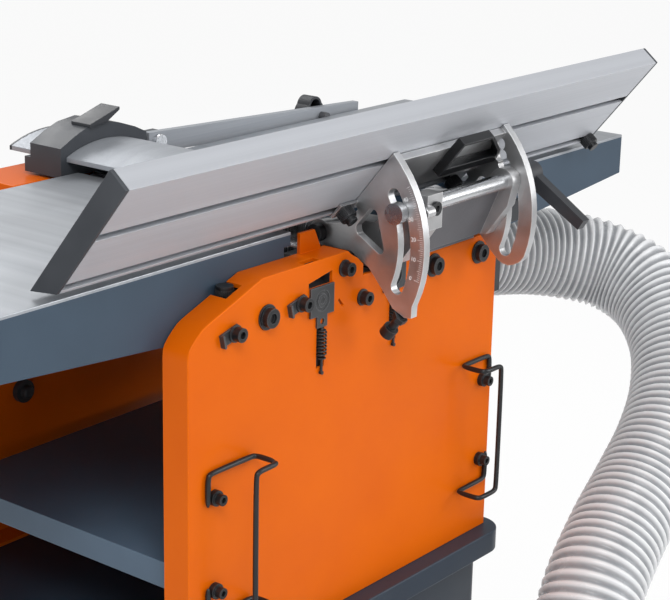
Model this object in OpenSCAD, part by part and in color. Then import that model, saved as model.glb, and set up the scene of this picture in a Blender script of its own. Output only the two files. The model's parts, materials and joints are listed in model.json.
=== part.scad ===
// Combination planer thicknesser with a tilting fence, a bridge guard and an extraction hose
// Millimetres. +X is the feed direction, +Y the operator's side, +Z up.
// The origin is on the floor below the axis of the cutter block.

/* [Tables] */
// Height of the table tops above the floor
table_z = 850; // [846:1:856]
// Width of the tables across the feed
table_w = 277; // [264:0.5:290]
// Length of each table from the axis of the cutter block
table_l = 472; // [440:1:520]
// Thickness of the table plates
table_t = 12; // [10:0.5:13]
// Depth of the aprons at the outer ends of the tables
apron_end_h = 40; // [36:1:44]
// Depth of the aprons beside the mouth
apron_mouth_h = 73; // [70:1:74]
// Wall of the table aprons
apron_t = 8; // [6:0.5:10]

/* [Cutter and rollers] */
// Diameter of the cutting circle
cutter_d = 63; // [62:0.5:64]
// Diameter of the feed rollers
roller_d = 26; // [24:0.5:28]
// Distance of each feed roller from the axis of the cutter block
roller_x = 49; // [48:0.5:50]
// Drop of the feed roller axes below the axis of the cutter block
roller_drop = 19.5; // [19:0.5:21]

/* [Thicknesser] */
// Height of the thicknesser bed above the floor in the stored position
bed_z = 604; // [596:1:612]
// Length of the thicknesser bed
bed_l = 386; // [360:1:388]
// Distance of the thicknesser bed's edges inside the edges of the tables
bed_in = 5; // [4.5:0.5:13.5]
// Thickness of the thicknesser bed
bed_t = 22.6; // [18:0.2:26]

/* [Body] */
// Height of the tray that carries the body
tray_z = 515.5; // [506:0.5:524]
// Length of the tray
tray_l = 438; // [432:1:450]
// Reach of the tray beyond the side panels
tray_rim = 17; // [16.5:0.5:24.5]
// Height of the tray's edge
tray_h = 22; // [18:1:26]
// Length of the side panels
panel_l = 412; // [410:1:416]
// Distance of the outer face of a side panel from the edge of the tables
panel_room = 27; // [26.75:0.25:27.25]
// Depth of the folded edge of a side panel
panel_fold = 26; // [25.5:0.25:26.5]
// Sheet thickness of the side panels
panel_sheet = 3; // [2.5:0.25:3.5]
// Drop of the upper edge of a side panel below the table tops
panel_drop = 19.5; // [19:0.5:20]
// Length of the cabinet below the tray
cabinet_l = 400; // [380:1:410]
// Distance of the cabinet's sides inside the edge of the tray
cabinet_in = 17.5; // [17:0.5:19.5]
// Sheet thickness of the cabinet, the tray and the covers
sheet = 2; // [1.5:0.25:2.5]

/* [Fence] */
// Length of the fence
fence_l = 711.6; // [640:0.4:760]
// Height of the fence's face
fence_h = 130; // [126:1:140]
// Thickness of the fence's section
fence_t = 19.4; // [19:0.1:20]
// Tilt of the fence away from upright
fence_tilt = 39.25; // [0:0.25:45]
// Thickness of the quadrant castings
quad_t = 8; // [6:0.5:8]
// Radius of the quadrant's rim about the pivot
quad_r = 108; // [106:0.5:110]
// Radius of the clamp slot about the pivot
slot_r = 88; // [87:0.5:89]

/* [Extraction] */
// Outer diameter over the ribs of the hose
hose_d = 96; // [95:0.5:97]
// Bore of the hose
hose_bore = 87; // [86:0.5:88]

/* [Hidden] */
$fn = 48;

// Shared clearances
over = 1;
gap = 0.3;
fit = 0.05;
hole_gap = 1;

// Widths that follow the tables
bed_w = table_w - 2 * bed_in;
panel_w = table_w + 2 * panel_room;
tray_w = panel_w + 2 * tray_rim;
cabinet_w = tray_w - 2 * cabinet_in;

// Cutter block
cutter_r = cutter_d / 2;
cutter_z = table_z - cutter_r;
cutter_near_gap = 36.5;
cutter_far_gap = 2;
cutter_near_y = -table_w / 2 + cutter_near_gap;
cutter_far_y = table_w / 2 - cutter_far_gap;
block_land = 1;
block_r = cutter_r - block_land;
near_shaft_r = 6.5;
far_shaft_r = 15;
knife_t = 3;
knife_h = 14;
knife_n = 3;
knife_turn = 30;
pulley_gap = 12.5;
pulley_t = 22;
side_y = max(panel_w, cabinet_w) / 2;
pulley_y = side_y + pulley_gap;
cutter_pulley_r = 16;
motor_pulley_r = 30;
shaft_end_gap = 2;

// Feed rollers
roller_r = roller_d / 2;
roller_z = cutter_z - roller_drop;
roller_far_gap = 9.5;
roller_near_y = cutter_near_y;
roller_far_y = table_w / 2 - roller_far_gap;
roller_shaft_r = 6;

// Side panels
panel_y = panel_w / 2;
panel_in_y = panel_y - panel_fold;
panel_face_y = panel_y - panel_sheet;
panel_x = panel_l / 2;
panel_top_z = table_z - panel_drop;
panel_flat_x = 121;
panel_eave_drop = 40.5;
panel_eave_z = panel_top_z - panel_eave_drop;
panel_corner = 25;
corner_shares = [[0, -0.3], [0.02, -0.1], [0.09, 0.07], [0.26, 0.26], [0.45, 0.43], [0.64, 0.58], [0.82, 0.67],
    [1, 0.74]];
cradle_x = [-14, 187];
cradle_drop = 44;
cradle_z = table_z - cradle_drop;
cradle_lead = 20;
lead_shares = [[0, 1], [0.26, 0.82], [0.63, 0.65], [1, 0.39], [1, 0]];
tab_x = [-48.6, -22];
tab_drop = 2.3;
tab_top_z = table_z - tab_drop;
tab_shares = [[0, 0], [0, 1], [0.7, 1], [1, 0.2], [1, 0]];
relief_x = [-152.5, -134];
relief_d = 10;
slit_d = 1;
slit_x = [-69, -50];
slit_w = 8;
nick_x = -22.9;
nick_drop = 42;
nick_l = 9.3;
nick_w = 2.4;
nick_deg = 50;

// Tray and cabinet
tray_x = tray_l / 2;
tray_y = tray_w / 2;
tray_r = 24;
tray_plate = 3;
tray_under_z = tray_z - tray_plate;
cabinet_x = cabinet_l / 2;
cabinet_y = cabinet_w / 2;
cabinet_r = 12;
rail_t = 6;
rail_w = 80;
rail_l = 390;
rail_x = 175;
bolt_y = 180;
bolt_hole_r = 6;

// Bearing blocks
block_x = 28;
block_down = 33.5;
block_up = 2;
block_step = 0.5;
block_gap = 4;
block_low_z = cutter_z - block_down;
block_top_z = cutter_z + block_up;
block_step_y = -panel_in_y + block_step;
block_in_y = cutter_near_y - block_gap;
far_block_x = 34;

// Table mounts
mount_out_x = [90, 190];
mount_in_x = [-136, -90];
mount_drop = 75;
mount_h = 25;
mount_z = [table_z - mount_drop, table_z - mount_drop + mount_h];

// Tables
table_y = table_w / 2;
mouth_x = 26;
lip_t = 5;
apron_x = 63.5;
notch_in = 34.5;
notch_y = -table_y + notch_in;
notch_x = [-55.4, 190];
notch_z = cradle_z - hole_gap;
pocket_t = 8;
pocket_z = notch_z - lip_t;

// Tie bars and chip hood
hood_drop = 67;
hood_top_z = table_z - hood_drop;
hood_h = 48;
hood_low_z = hood_top_z - hood_h;
hood_gap = 21.5;
hood_y = panel_in_y - hood_gap;
hood_in_x = -62;
hood_x = 196;
hood_mouth_x = 36;
tie_r = 8;
tie_x = [-44, 168];
box_x = 236;
box_low_z = 658;
port_z = 716;
port_end_x = 298;
port_wall = 2;
port_collar_x = 244;
port_collar_r = 52;
hose_slip = 0.3;
port_r = hose_bore / 2 - hose_slip;

// Thicknesser bed
bed_x = bed_l / 2;
bed_y = bed_w / 2;
bed_low_z = bed_z - bed_t;
bed_rib_t = 10;
bed_rim = 20;
column_r = 35;
column_low_z = 300;
sleeve_low_z = 340;
sleeve_r = 50;
flange_r = 72;
flange_t = 8;

// Handwheel
wheel_x = 156;
wheel_z = 400;
wheel_r = 68;
wheel_rim_r = 8;
wheel_hub_r = 16;
wheel_gap = 31;
wheel_y = cabinet_y + wheel_gap;
wheel_t = 20;
wheel_shaft_r = 8;
wheel_in_y = 120;
spoke_r = 6;
spoke_n = 3;
crank_at = 56;
grip_r = 11;
grip_pin_r = 4;
grip_l = 52;
collar_t = 6;
collar_r = 16;

// Motor and drive
motor_z = 190;
motor_r = 66;
motor_l = 223;
motor_flange_x = 80;
motor_flange_t = 10;
flange_y = cabinet_y - sheet - motor_flange_t;
motor_shaft_r = 12;
terminal_l = 70;
terminal_w = 60;
terminal_h = 24;
belt_t = 4;
belt_w = 16;
cover_x = 80;
cover_room = 45;
cover_y = pulley_y + pulley_t + cover_room;
cover_drop = 8;
cover_top_z = table_z - cover_drop;
cover_low_z = 95;
cover_crease = 16;

// Depth lever
lever_x = -180;
lever_drop = 108;
lever_z = table_z - lever_drop;
lever_shaft_r = 7;
lever_gap = 2.5;
lever_t = 10;
lever_y = [panel_y + lever_gap, panel_y + lever_gap + lever_t];
lever_l = 105;
lever_w = 18;
lever_turn = 200;
lever_knob_r = 13;
lever_knob_l = 30;
lever_collar_r = 13;
lever_in = 6.5;
lever_in_y = panel_in_y + lever_in;

// Fence pivot and section
pivot_in = 21.1;
pivot_y = -table_y + pivot_in;
pivot_drop = 16;
pivot_z = table_z - pivot_drop;
fence_x0 = -318;
fence_front = 12;
fence_back = fence_front - fence_t;
fence_lift = 0.5;
fence_low = pivot_drop + fence_lift;
fence_top = fence_low + fence_h;
slot_w = 7;
slot_lip = 3;
tee_w = 12.5;
tee_d = 6;
slot_low_s = 26;
slot_high_s = 80;
chamber_wall = 3;
cap_t = 3.6;

// Quadrant castings
quad_x = [8, 168];
quad_gap = 0.4;
quad_back = fence_back - quad_gap;
quad_foot_top = 47;
recess_y = -14;
recess_z = [29, 45];
boss_r = 11;
pivot_r = 6;
rim_top_deg = acos(-quad_back / quad_r);
rim_low_deg = 12;
round_low_deg = 24;
rim_step_deg = 6;
slot_end_deg = 15;
boss_low_deg = 315;
tip_shares = [[-1.026, 0.165], [-0.98, 0.118], [-0.86, 0.087], [-0.72, 0.118], [-0.5, 0.152], [-0.3, 0.118]];
round_shares = [[-0.94, 0.34], [-0.944, 0.3], [-0.938, 0.256], [-0.918, 0.208], [-0.889, 0.167], [-0.846, 0.138],
    [-0.794, 0.124], [-0.681, 0.128], [-0.5, 0.152], [-0.3, 0.118]];
clamp_slot_w = 12;
slot_low_deg = 17.5;
slot_high_deg = 69;
window_shares = [[-0.205, 0.52], [-0.205, 0.3], [-0.25, 0.27], [-0.5, 0.31], [-0.53, 0.35], [-0.26, 0.545]];
web_t = 6.6;
web_z = [58, 104];
lug_x = 22;
lug_z = [35, 50];
lug_t = 2.4;
hole_r = 6;
hole_shares = [[0.86, 80], [0.82, 74]];

// Slot screws and fence stop
knurl_r = 7;
knurl_l = 9;
screw_r = 3;
tee_gap = 0.4;
stop_x = 380;
screw_x = [-5, 147];
tip_r = 5;
tip_l = 4;
rest_share = 0.95;
rest_top = 10.6;
rest_x = 2;
rest_r = 3.6;
rest_l = 20;
rest_nut_r = 6.5;
rest_nut_h = 5;
rest_head_r = 6.5;
rest_head_h = 9;

// Bracket on the web
bracket_l = 83.6;
bracket_x = quad_x[1] - quad_gap - bracket_l;
bracket_d = 8.5;
bracket_t = 3;
bracket_z = 76;
bracket_h = 41;
bracket_foot_h = 9;
bracket_shares = [[0, 0], [0, 1], [0.53, 1], [0.9, 0.46], [1, 0.15], [1, 0]];

// Carrier
clamp_deg = 20.5;
clamp_y = pivot_y - slot_r * cos(clamp_deg);
clamp_z = pivot_z + slot_r * sin(clamp_deg);
arm_left = 21;
arm_right = 11.6;
arm_in = 12.4;
arm_left_x = [quad_x[0] + quad_t + arm_in, quad_x[0] + quad_t + arm_in + arm_left];
arm_right_x = [quad_x[1] - quad_gap - arm_right, quad_x[1] - quad_gap];
carrier_boss_x = quad_x[0] + quad_t + quad_gap;
clamp_boss_r = 12;
carrier_t = 12;
carrier_back = 11.6;
carrier_out = 20.5;
carrier_lip = 9;
carrier_back_y = pivot_y - carrier_back;
carrier_front_y = -panel_y - carrier_out;
carrier_lip_z = cradle_z + carrier_lip;
arm_top = 10;
arm_top_z = pivot_z + arm_top;
knee_in = 5.5;
knee_up = 12;
arm_knee_y = -panel_y + knee_in;
arm_knee_z = pivot_z + knee_up;
shin_out = 7.2;
shin_down = 20.8;
wall_t = 5;
wall_in = 6;
wall_back = 2;
cheek_out = 13;
cheek_down = 18;
cheek_up = 12;
cheek_screw_r = 6;
cheek_screw_t = 3;
cheek_hex_r = 3;
cheek_hex_d = 2;
rod_r = 5;
bar_r = 7;
head_r = 9;
head_t = 8;
head_gap = 0.4;
washer_t = 2;

// Pivot screws
cap_head_r = 8;
cap_head_t = 8;
hex_r = 4;
hex_d = 4;

// Clamp lever
hub_x = [178.8, 206];
hub_r = 11;
grip_x = [195, 205];
lever_deg = 32;
lever_len = 69;
lever_tip_w = 10;
lever_root_w = 13;

// Angle pointer
pointer_x = [carrier_boss_x + hole_gap, arm_left_x[0]];
pointer_r = 5;

// Bridge guard
arm_gap = 8;
arm_t = 8;
arm_y = [table_y + arm_gap, table_y + arm_gap + arm_t];
arm_x0 = 74;
arm_x1 = 398;
arm_h = 20;
guard_piv_x = 86.4;
guard_piv_up = 9.6;
guard_piv_z = table_z + guard_piv_up;
guard_root_x = 335;
guard_root_drop = 1;
guard_root_z = table_z - guard_root_drop;
knob_r = 20;
knob_lobe_r = 11;
knob_gap = 0.5;
knob_l = 17;
knob_y = [arm_y[1] + knob_gap, arm_y[1] + knob_gap + knob_l];
knob_wall = 3;
stud_r = 5;
root_plate_w = 60;
root_plate_drop = 38;
root_plate_z = table_z - root_plate_drop;
holder_x = [-39.5, 70.8];
holder_d = 40.5;
holder_y = [arm_y[0], arm_y[0] + holder_d];
holder_foot = 8;
holder_low = 5.2;
holder_z = table_z - holder_low;
holder_h = 45.2;
holder_foot_h = 14.2;
holder_ear_h = 24.2;
holder_side = 8;
holder_shares = [[0, 0], [0, 0.61], [0.164, 0.81], [0.306, 0.94], [0.509, 1], [0.684, 0.91], [0.862, 0.765],
    [1, 0.61], [1, 0]];
holder_ear_x = [71, 96];
ear_t = 8;
holder_ear_y = [arm_y[1] + knob_gap, arm_y[1] + knob_gap + ear_t];
guard_x0 = -32;
guard_x1 = 68;
guard_rise = 11;
guard_up = 9;
guard_low_z = table_z + guard_up;
guard_t = 4;
guard_short = 46.5;
guard_out = 85.5;
guard_y = [-table_y + guard_short, table_y + guard_out];
trim_t = 3;
guard_bolt_r = 5;
guard_head_r = 8;
guard_head_t = 5;
flap_in = 3.5;
flap_w = 25;
flap_y = [arm_y[0] - flap_in, arm_y[0] - flap_in + flap_w];
flap_reach = 16;
flap_rise = 9;
flap_t = 3;

// Screws on the near panel, as shares of its half length and of the drop of its eave
bolt_shares = [[-0.562, 0.805], [0.516, 0.916], [0.854, 0.978]];
small_shares = [[-0.095, 0.326], [0.027, 1.077], [-0.367, 0.748], [-0.755, 0.889]];
function on_panel(s) = [panel_x * s[0], panel_top_z - panel_eave_drop * s[1]];
bolt_at = [for (s = bolt_shares) on_panel(s)];
small_at = [for (s = small_shares) on_panel(s)];
bolt_r = 8;
bolt_head_t = 5.5;
bolt_washer_r = 10.5;
bolt_washer_t = 1.6;
small_r = 5.8;
small_t = 7;
small_washer_r = 7.2;
socket_share = 0.5;

// Leaf clips under two of the small screws
clip_at = [small_at[3], small_at[2]];
strip_l = 21;
strip_w = 11;
strip_t = 2;
strip_deg = 166;
strip_out = 5;

// Roller bearing plates and springs
plate_w = 30;
plate_up = 10;
plate_down = 15;
plate_t = 2;
plate_ring_r = 8.6;
plate_screw_r = 5.8;
plate_hex_r = 3;
tongue_w = 12.8;
tongue_h = 10;
tongue_hole_r = 2.6;
notch_h = 11;
notch_shares = [[-0.53, 0], [0.48, 0], [0.48, 1], [-0.53, 0.5]];
spring_r = 3.7;
spring_wire_r = 0.8;
spring_turns = 7;
spring_sides = 6;
spring_rings = 8;
spring_drop = 29;
spring_l = 21;
spring_top_z = roller_z - spring_drop;
spring_low_z = spring_top_z - spring_l;
spring_out = 1.5;
spring_y = -panel_y - spring_out;
spring_slot_w = 10;
slot_h = 36;
slot_top_z = roller_z - plate_down - tongue_h + over;
slot_low_z = slot_top_z - slot_h;
hook_r = 1.2;
hook_root_r = 1.6;
hook_cap_t = 1;
hook_drop = 14;
hook_z = spring_low_z - hook_drop;

// Knurled vertical stop screw
stop_screw_x = -143.5;
stop_screw_in = 19.5;
stop_screw_y = -panel_y + stop_screw_in;
stop_screw_r = 7;
stop_stem_r = 4;
stop_drop = 24;
stop_screw_h = 14;
stop_stem_l = 12;
stop_pad_gap = 6;
stop_screw_z = [table_z - stop_drop - stop_screw_h, table_z - stop_drop];
stop_stem_z = stop_screw_z[0] - stop_stem_l;
stop_pad_z = stop_stem_z + stop_pad_gap;

// Wire brackets
wire_r = 2.5;
wire_edge = [28.5, 16];
wire_at = [[-panel_x + wire_edge[0], -1], [panel_x - wire_edge[1], 1]];
wire_up_z = 150.5;
wire_span = 79;
wire_top_z = tray_z + wire_up_z;
wire_low_z = wire_top_z - wire_span;
wire_reach = 22;
wire_out = 27.5;
wire_far = [45.5, 36];
wire_leg = [18.5, 8.5];
wire_bend = 5;
wire_sides = 8;
wire_up = [0.35, 0.8, 0.3];
eye_r = 6.5;
eye_t = 5;
eye_head_r = 4.6;
eye_head_t = 6;

// Latch on the right edge of the near panel
latch_x = 15;
latch_z = [744, 826];
latch_in = 4.5;
latch_w = 18;
latch_y = [-panel_y + latch_in, -panel_y + latch_in + latch_w];
latch_arm_x = 46;
latch_arm_h = 20;

// Switch box
switch_in = 15;
switch_w = 80;
switch_x = [-cabinet_x + switch_in, -cabinet_x + switch_in + switch_w];
switch_low_z = 350;
switch_h = 120;
switch_z = [switch_low_z, switch_low_z + switch_h];
switch_d = 44;
button_r = 12;
button_l = 9;
button_bed = 12;
start_up = 90;
stop_up = 35;
start_z = switch_low_z + start_up;
stop_z = switch_low_z + stop_up;
stop_r = 17;
switch_mid_x = (switch_x[0] + switch_x[1]) / 2;

// Hose route, chosen by hand
route = [
    [246, 0, 716], [300, 0, 716], [360, 0, 716], [430, -12, 711], [495, -40, 702], [540, -90, 687],
    [543, -145, 665], [510, -195, 632], [460, -228, 595], [404, -246, 561], [345, -255, 530],
    [285, -264, 502], [225, -276, 466], [178, -290, 410], [150, -305, 335], [135, -320, 245],
    [115, -335, 155], [70, -345, 85], [-10, -350, 55], [-100, -350, 52], [-200, -350, 52]
];
rib_pitch = 10;
rib_d = 3.2;
hose_sides = 8;
hose_up = [0.15, -0.6, 0.8];
cuff_plug_l = 60;
cuff_l = 70;
cuff_r = 51;
cuff_wall = 3;
cuff_ring_l = 10;

// Shared helpers
function mid(p) = (p[0] + p[1]) / 2;
function unit(v) = v / norm(v);
function polar(r, a) = [-r * cos(a), r * sin(a)];
function spline(a, b, c, d, t) = 0.5 * (2 * b + (c - a) * t + (2 * a - 5 * b + 4 * c - d) * t * t
    + (3 * b - a - 3 * c + d) * t * t * t);
function scaled(list, r) = [for (p = list) r * p];

module block(x, y, z) {
    translate([x[0], y[0], z[0]])
        cube([x[1] - x[0], y[1] - y[0], z[1] - z[0]]);
}

module rod_x(r, x, y, z) {
    translate([x[0], y, z]) rotate([0, 90, 0]) cylinder(r = r, h = x[1] - x[0]);
}

module rod_y(r, x, y, z) {
    translate([x, y[0], z]) rotate([-90, 0, 0]) cylinder(r = r, h = y[1] - y[0]);
}

module rod_z(r, x, y, z) {
    translate([x, y, z[0]]) cylinder(r = r, h = z[1] - z[0]);
}

module plate_x(x) {
    translate([x[0], 0, 0]) rotate([90, 0, 90]) linear_extrude(x[1] - x[0]) children();
}

module plate_y(y) {
    translate([0, y[1], 0]) rotate([90, 0, 0]) linear_extrude(y[1] - y[0]) children();
}

module plate_z(z) {
    translate([0, 0, z[0]]) linear_extrude(z[1] - z[0]) children();
}

module round_rect(w, h, r) {
    square([w, h - 2 * r], center = true);
    square([w - 2 * r, h], center = true);
    for (i = [-1, 1], j = [-1, 1])
        translate([i * (w / 2 - r), j * (h / 2 - r)]) circle(r);
}

module link(a, b, r) {
    v = b - a;
    translate(a)
        rotate([0, acos(v[2] / norm(v)), atan2(v[1], v[0])]) cylinder(r = r, h = norm(v));
}

module tilted() {
    translate([0, pivot_y, pivot_z]) rotate([fence_tilt, 0, 0]) children();
}

// Socket-headed screw standing out of the near panel, with its washer
module panel_screw(at, r, t, washer_r, washer) {
    difference() {
        union() {
            rod_y(washer_r, at[0], [-panel_y - washer, -panel_y], at[1]);
            rod_y(r, at[0], [-panel_y - washer - t, -panel_y - washer], at[1]);
        }
        rod_y(r * socket_share, at[0],
            [-panel_y - washer - t - over, -panel_y - washer - t * socket_share], at[1]);
    }
}

module floor_rails() {
    color([0.1, 0.12, 0.14])
        for (i = [-1, 1])
            difference() {
                translate([i * rail_x, 0, 0]) plate_z([0, rail_t]) round_rect(rail_w, rail_l, cabinet_r);
                for (j = [-1, 1])
                    rod_z(bolt_hole_r, i * rail_x, j * bolt_y, [-over, rail_t + over]);
            }
}

module cabinet() {
    color([0.16, 0.22, 0.28])
        difference() {
            plate_z([rail_t, tray_under_z]) round_rect(cabinet_l, cabinet_w, cabinet_r);
            plate_z([rail_t - over, tray_under_z + over])
                round_rect(cabinet_l - 2 * sheet, cabinet_w - 2 * sheet, cabinet_r - sheet);
            rod_y(wheel_shaft_r + fit, wheel_x, [0, cabinet_y + over], wheel_z);
            rod_y(motor_shaft_r + hole_gap, 0, [0, cabinet_y + over], motor_z);
        }
}

module tray() {
    color([0.16, 0.22, 0.28])
        difference() {
            plate_z([tray_z - tray_h, tray_z]) round_rect(tray_l, tray_w, tray_r);
            plate_z([tray_z - tray_h - over, tray_under_z])
                round_rect(tray_l - 2 * tray_plate, tray_w - 2 * tray_plate, tray_r - tray_plate);
            rod_z(sleeve_r + hole_gap, 0, 0, [tray_under_z - over, tray_z + over]);
            block([-cover_x - hole_gap, cover_x + hole_gap], [panel_y, tray_y + over],
                [tray_z - tray_h - over, tray_z + over]);
        }
}

module panel_shape() {
    right = [for (s = corner_shares) [panel_x - panel_corner * s[0], panel_eave_z + panel_corner * s[1]]];
    left = [for (i = [len(right) - 1:-1:0]) [-right[i][0], right[i][1]]];
    polygon(concat([[-panel_x, tray_z], [panel_x, tray_z]], right,
        [[panel_flat_x, panel_top_z], [-panel_flat_x, panel_top_z]], left));
}

// Pan-shaped side panel, side -1 near and 1 far
module panel_pan(side) {
    y = side < 0 ? [-panel_y, -panel_in_y] : [panel_in_y, panel_y];
    y_in = side < 0 ? [-panel_face_y, -panel_in_y + over] : [panel_in_y - over, panel_face_y];
    difference() {
        plate_y(y) panel_shape();
        plate_y(y_in) offset(delta = -panel_sheet) panel_shape();
        for (i = [-1, 1])
            rod_y(roller_shaft_r + fit, i * roller_x, [y[0] - over, y[1] + over], roller_z);
    }
}

// Opening in the upper edge that the carrier sits in
module cradle_shape() {
    h = panel_top_z - cradle_z;
    lead = [for (s = lead_shares) [cradle_x[0] + cradle_lead * s[0], cradle_z + h * s[1]]];
    polygon(concat([[cradle_x[0], panel_top_z + over]], lead,
        [[cradle_x[1], cradle_z], [cradle_x[1], panel_top_z + over]]));
}

module tab_shape() {
    z0 = panel_top_z - panel_sheet;
    polygon([for (s = tab_shares) [tab_x[0] + (tab_x[1] - tab_x[0]) * s[0], z0 + (tab_top_z - z0) * s[1]]]);
}

// Room for the infeed roller's plate to rise
module roller_notch() {
    z0 = roller_z + plate_up - over;
    polygon([for (s = notch_shares) [-roller_x + plate_w * s[0], z0 + notch_h * s[1]]]);
}

module near_panel() {
    color([0.91, 0.38, 0.09]) {
        difference() {
            panel_pan(-1);
            plate_y([-panel_y - over, -panel_in_y + over]) cradle_shape();
            plate_y([-panel_y - over, -panel_face_y + over]) {
                roller_notch();
                for (i = [-1, 1])
                    translate([i * roller_x - spring_slot_w / 2, slot_low_z])
                        square([spring_slot_w, slot_top_z - slot_low_z]);
                translate([nick_x, panel_top_z - nick_drop]) rotate(-nick_deg)
                    square([nick_l, nick_w], center = true);
            }
            block(relief_x, [-panel_y + relief_d, -panel_in_y + over], [stop_pad_z, panel_top_z]);
            block(slit_x, [-panel_y + slit_d, -panel_y + slit_d + slit_w],
                [panel_top_z - panel_sheet - over, panel_top_z + over]);
        }
        plate_y([-panel_in_y - panel_sheet, -panel_in_y]) tab_shape();
    }
}

module far_panel() {
    color([0.91, 0.38, 0.09])
        difference() {
            panel_pan(1);
            rod_y(far_shaft_r + hole_gap, 0, [panel_in_y, panel_y + over], cutter_z);
            rod_y(lever_shaft_r + fit, lever_x, [panel_in_y, panel_y + over], lever_z);
        }
}

module bearing_blocks() {
    color([0.2, 0.21, 0.22]) {
        difference() {
            union() {
                block([-block_x, block_x], [-panel_face_y, block_in_y], [block_low_z, cradle_z - hole_gap]);
                block([-block_x, block_x], [block_step_y, block_in_y], [block_low_z, block_top_z]);
            }
            rod_y(near_shaft_r + fit, 0, [block_step_y - over, block_in_y + over], cutter_z);
        }
        difference() {
            block([-far_block_x, far_block_x], [table_y + gap, panel_face_y],
                [block_low_z, panel_top_z - panel_sheet]);
            rod_y(far_shaft_r + fit, 0, [table_y, panel_y], cutter_z);
        }
    }
}

module table_mounts() {
    color([0.2, 0.21, 0.22])
        for (i = [-1, 1]) {
            block(mount_out_x, i < 0 ? [-panel_face_y, -table_y] : [table_y, panel_face_y], mount_z);
            block(mount_in_x, i < 0 ? [-panel_face_y, -table_y - gap] : [table_y + gap, panel_face_y], mount_z);
        }
}

module tie_bars() {
    color([0.55, 0.56, 0.58])
        for (x = tie_x)
            rod_y(tie_r, x, [-panel_face_y, panel_face_y], hood_low_z - tie_r);
}

module drive_cover() {
    color([0.91, 0.38, 0.09])
        difference() {
            plate_x([-cover_x, cover_x])
                polygon([[side_y, cover_low_z], [cover_y, cover_low_z], [cover_y, cover_top_z - cover_crease],
                    [cover_y - cover_crease, cover_top_z], [side_y, cover_top_z]]);
            plate_x([-cover_x + sheet, cover_x - sheet])
                polygon([[side_y - over, cover_low_z + sheet], [cover_y - sheet, cover_low_z + sheet],
                    [cover_y - sheet, cover_top_z - cover_crease - sheet],
                    [cover_y - cover_crease - sheet, cover_top_z - sheet],
                    [side_y - over, cover_top_z - sheet]]);
        }
}

module motor() {
    color([0.22, 0.23, 0.25]) {
        rod_y(motor_r, 0, [flange_y - motor_l, flange_y], motor_z);
        block([-terminal_l / 2, terminal_l / 2], [-terminal_w / 2, terminal_w / 2],
            [motor_z, motor_z + motor_r + terminal_h]);
        difference() {
            block([-motor_flange_x, motor_flange_x], [flange_y, cabinet_y - sheet],
                [motor_z - motor_flange_x, motor_z + motor_flange_x]);
            rod_y(motor_shaft_r + fit, 0, [flange_y + shaft_end_gap - gap, cabinet_y], motor_z);
        }
    }
}

module motor_pulley() {
    color([0.5, 0.5, 0.52]) {
        rod_y(motor_shaft_r, 0, [flange_y + shaft_end_gap, pulley_y + pulley_t], motor_z);
        difference() {
            rod_y(motor_pulley_r, 0, [pulley_y, pulley_y + pulley_t], motor_z);
            translate([0, pulley_y + (pulley_t - belt_w) / 2, 0])
                belt_seat(motor_pulley_r, motor_z);
        }
    }
}

// Groove that the belt runs in
module belt_seat(r, z) {
    difference() {
        rod_y(r + over, 0, [-gap, belt_w + gap], z);
        rod_y(r - belt_t / 2, 0, [-gap - over, belt_w + gap + over], z);
    }
}

module drive_belt() {
    r0 = motor_pulley_r - belt_t / 2 + gap;
    r1 = cutter_pulley_r - belt_t / 2 + gap;
    y = [pulley_y + (pulley_t - belt_w) / 2, pulley_y + (pulley_t + belt_w) / 2];
    color([0.08, 0.08, 0.08])
        plate_y(y)
            difference() {
                belt_outline(r0 + belt_t, r1 + belt_t);
                belt_outline(r0, r1);
            }
}

module belt_outline(r0, r1) {
    hull() {
        translate([0, motor_z]) circle(r0);
        translate([0, cutter_z]) circle(r1);
    }
}

module cutter_block() {
    color([0.62, 0.63, 0.65])
        difference() {
            union() {
                rod_y(block_r, 0, [cutter_near_y, cutter_far_y], cutter_z);
                rod_y(near_shaft_r, 0, [block_step_y + gap, cutter_near_y - fit], cutter_z);
                rod_y(far_shaft_r, 0, [cutter_far_y + fit, pulley_y], cutter_z);
            }
            for (i = [0:knife_n - 1])
                translate([0, 0, cutter_z]) rotate([0, knife_turn + i * 360 / knife_n, 0])
                    block([-knife_t / 2, knife_t / 2], [cutter_near_y - over, cutter_far_y + over],
                        [cutter_r - knife_h, cutter_r + over]);
        }
}

module cutter_knives() {
    color([0.8, 0.81, 0.83])
        for (i = [0:knife_n - 1])
            translate([0, 0, cutter_z]) rotate([0, knife_turn + i * 360 / knife_n, 0])
                intersection() {
                    block([-knife_t / 2, knife_t / 2], [cutter_near_y, cutter_far_y],
                        [cutter_r - knife_h, cutter_r]);
                    rod_y(cutter_r, 0, [cutter_near_y - over, cutter_far_y + over], 0);
                }
}

module cutter_pulley() {
    color([0.5, 0.5, 0.52])
        difference() {
            rod_y(cutter_pulley_r, 0, [pulley_y, pulley_y + pulley_t], cutter_z);
            translate([0, pulley_y + (pulley_t - belt_w) / 2, 0])
                belt_seat(cutter_pulley_r, cutter_z);
        }
}

module feed_roller(x) {
    rod_y(roller_r, x, [roller_near_y, roller_far_y], roller_z);
    rod_y(roller_shaft_r, x, [-panel_y + fit, roller_near_y], roller_z);
    rod_y(roller_shaft_r, x, [roller_far_y, panel_y - fit], roller_z);
}

module infeed_roller() {
    color([0.45, 0.46, 0.48]) feed_roller(-roller_x);
}

module outfeed_roller() {
    color([0.45, 0.46, 0.48]) feed_roller(roller_x);
}

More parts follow.
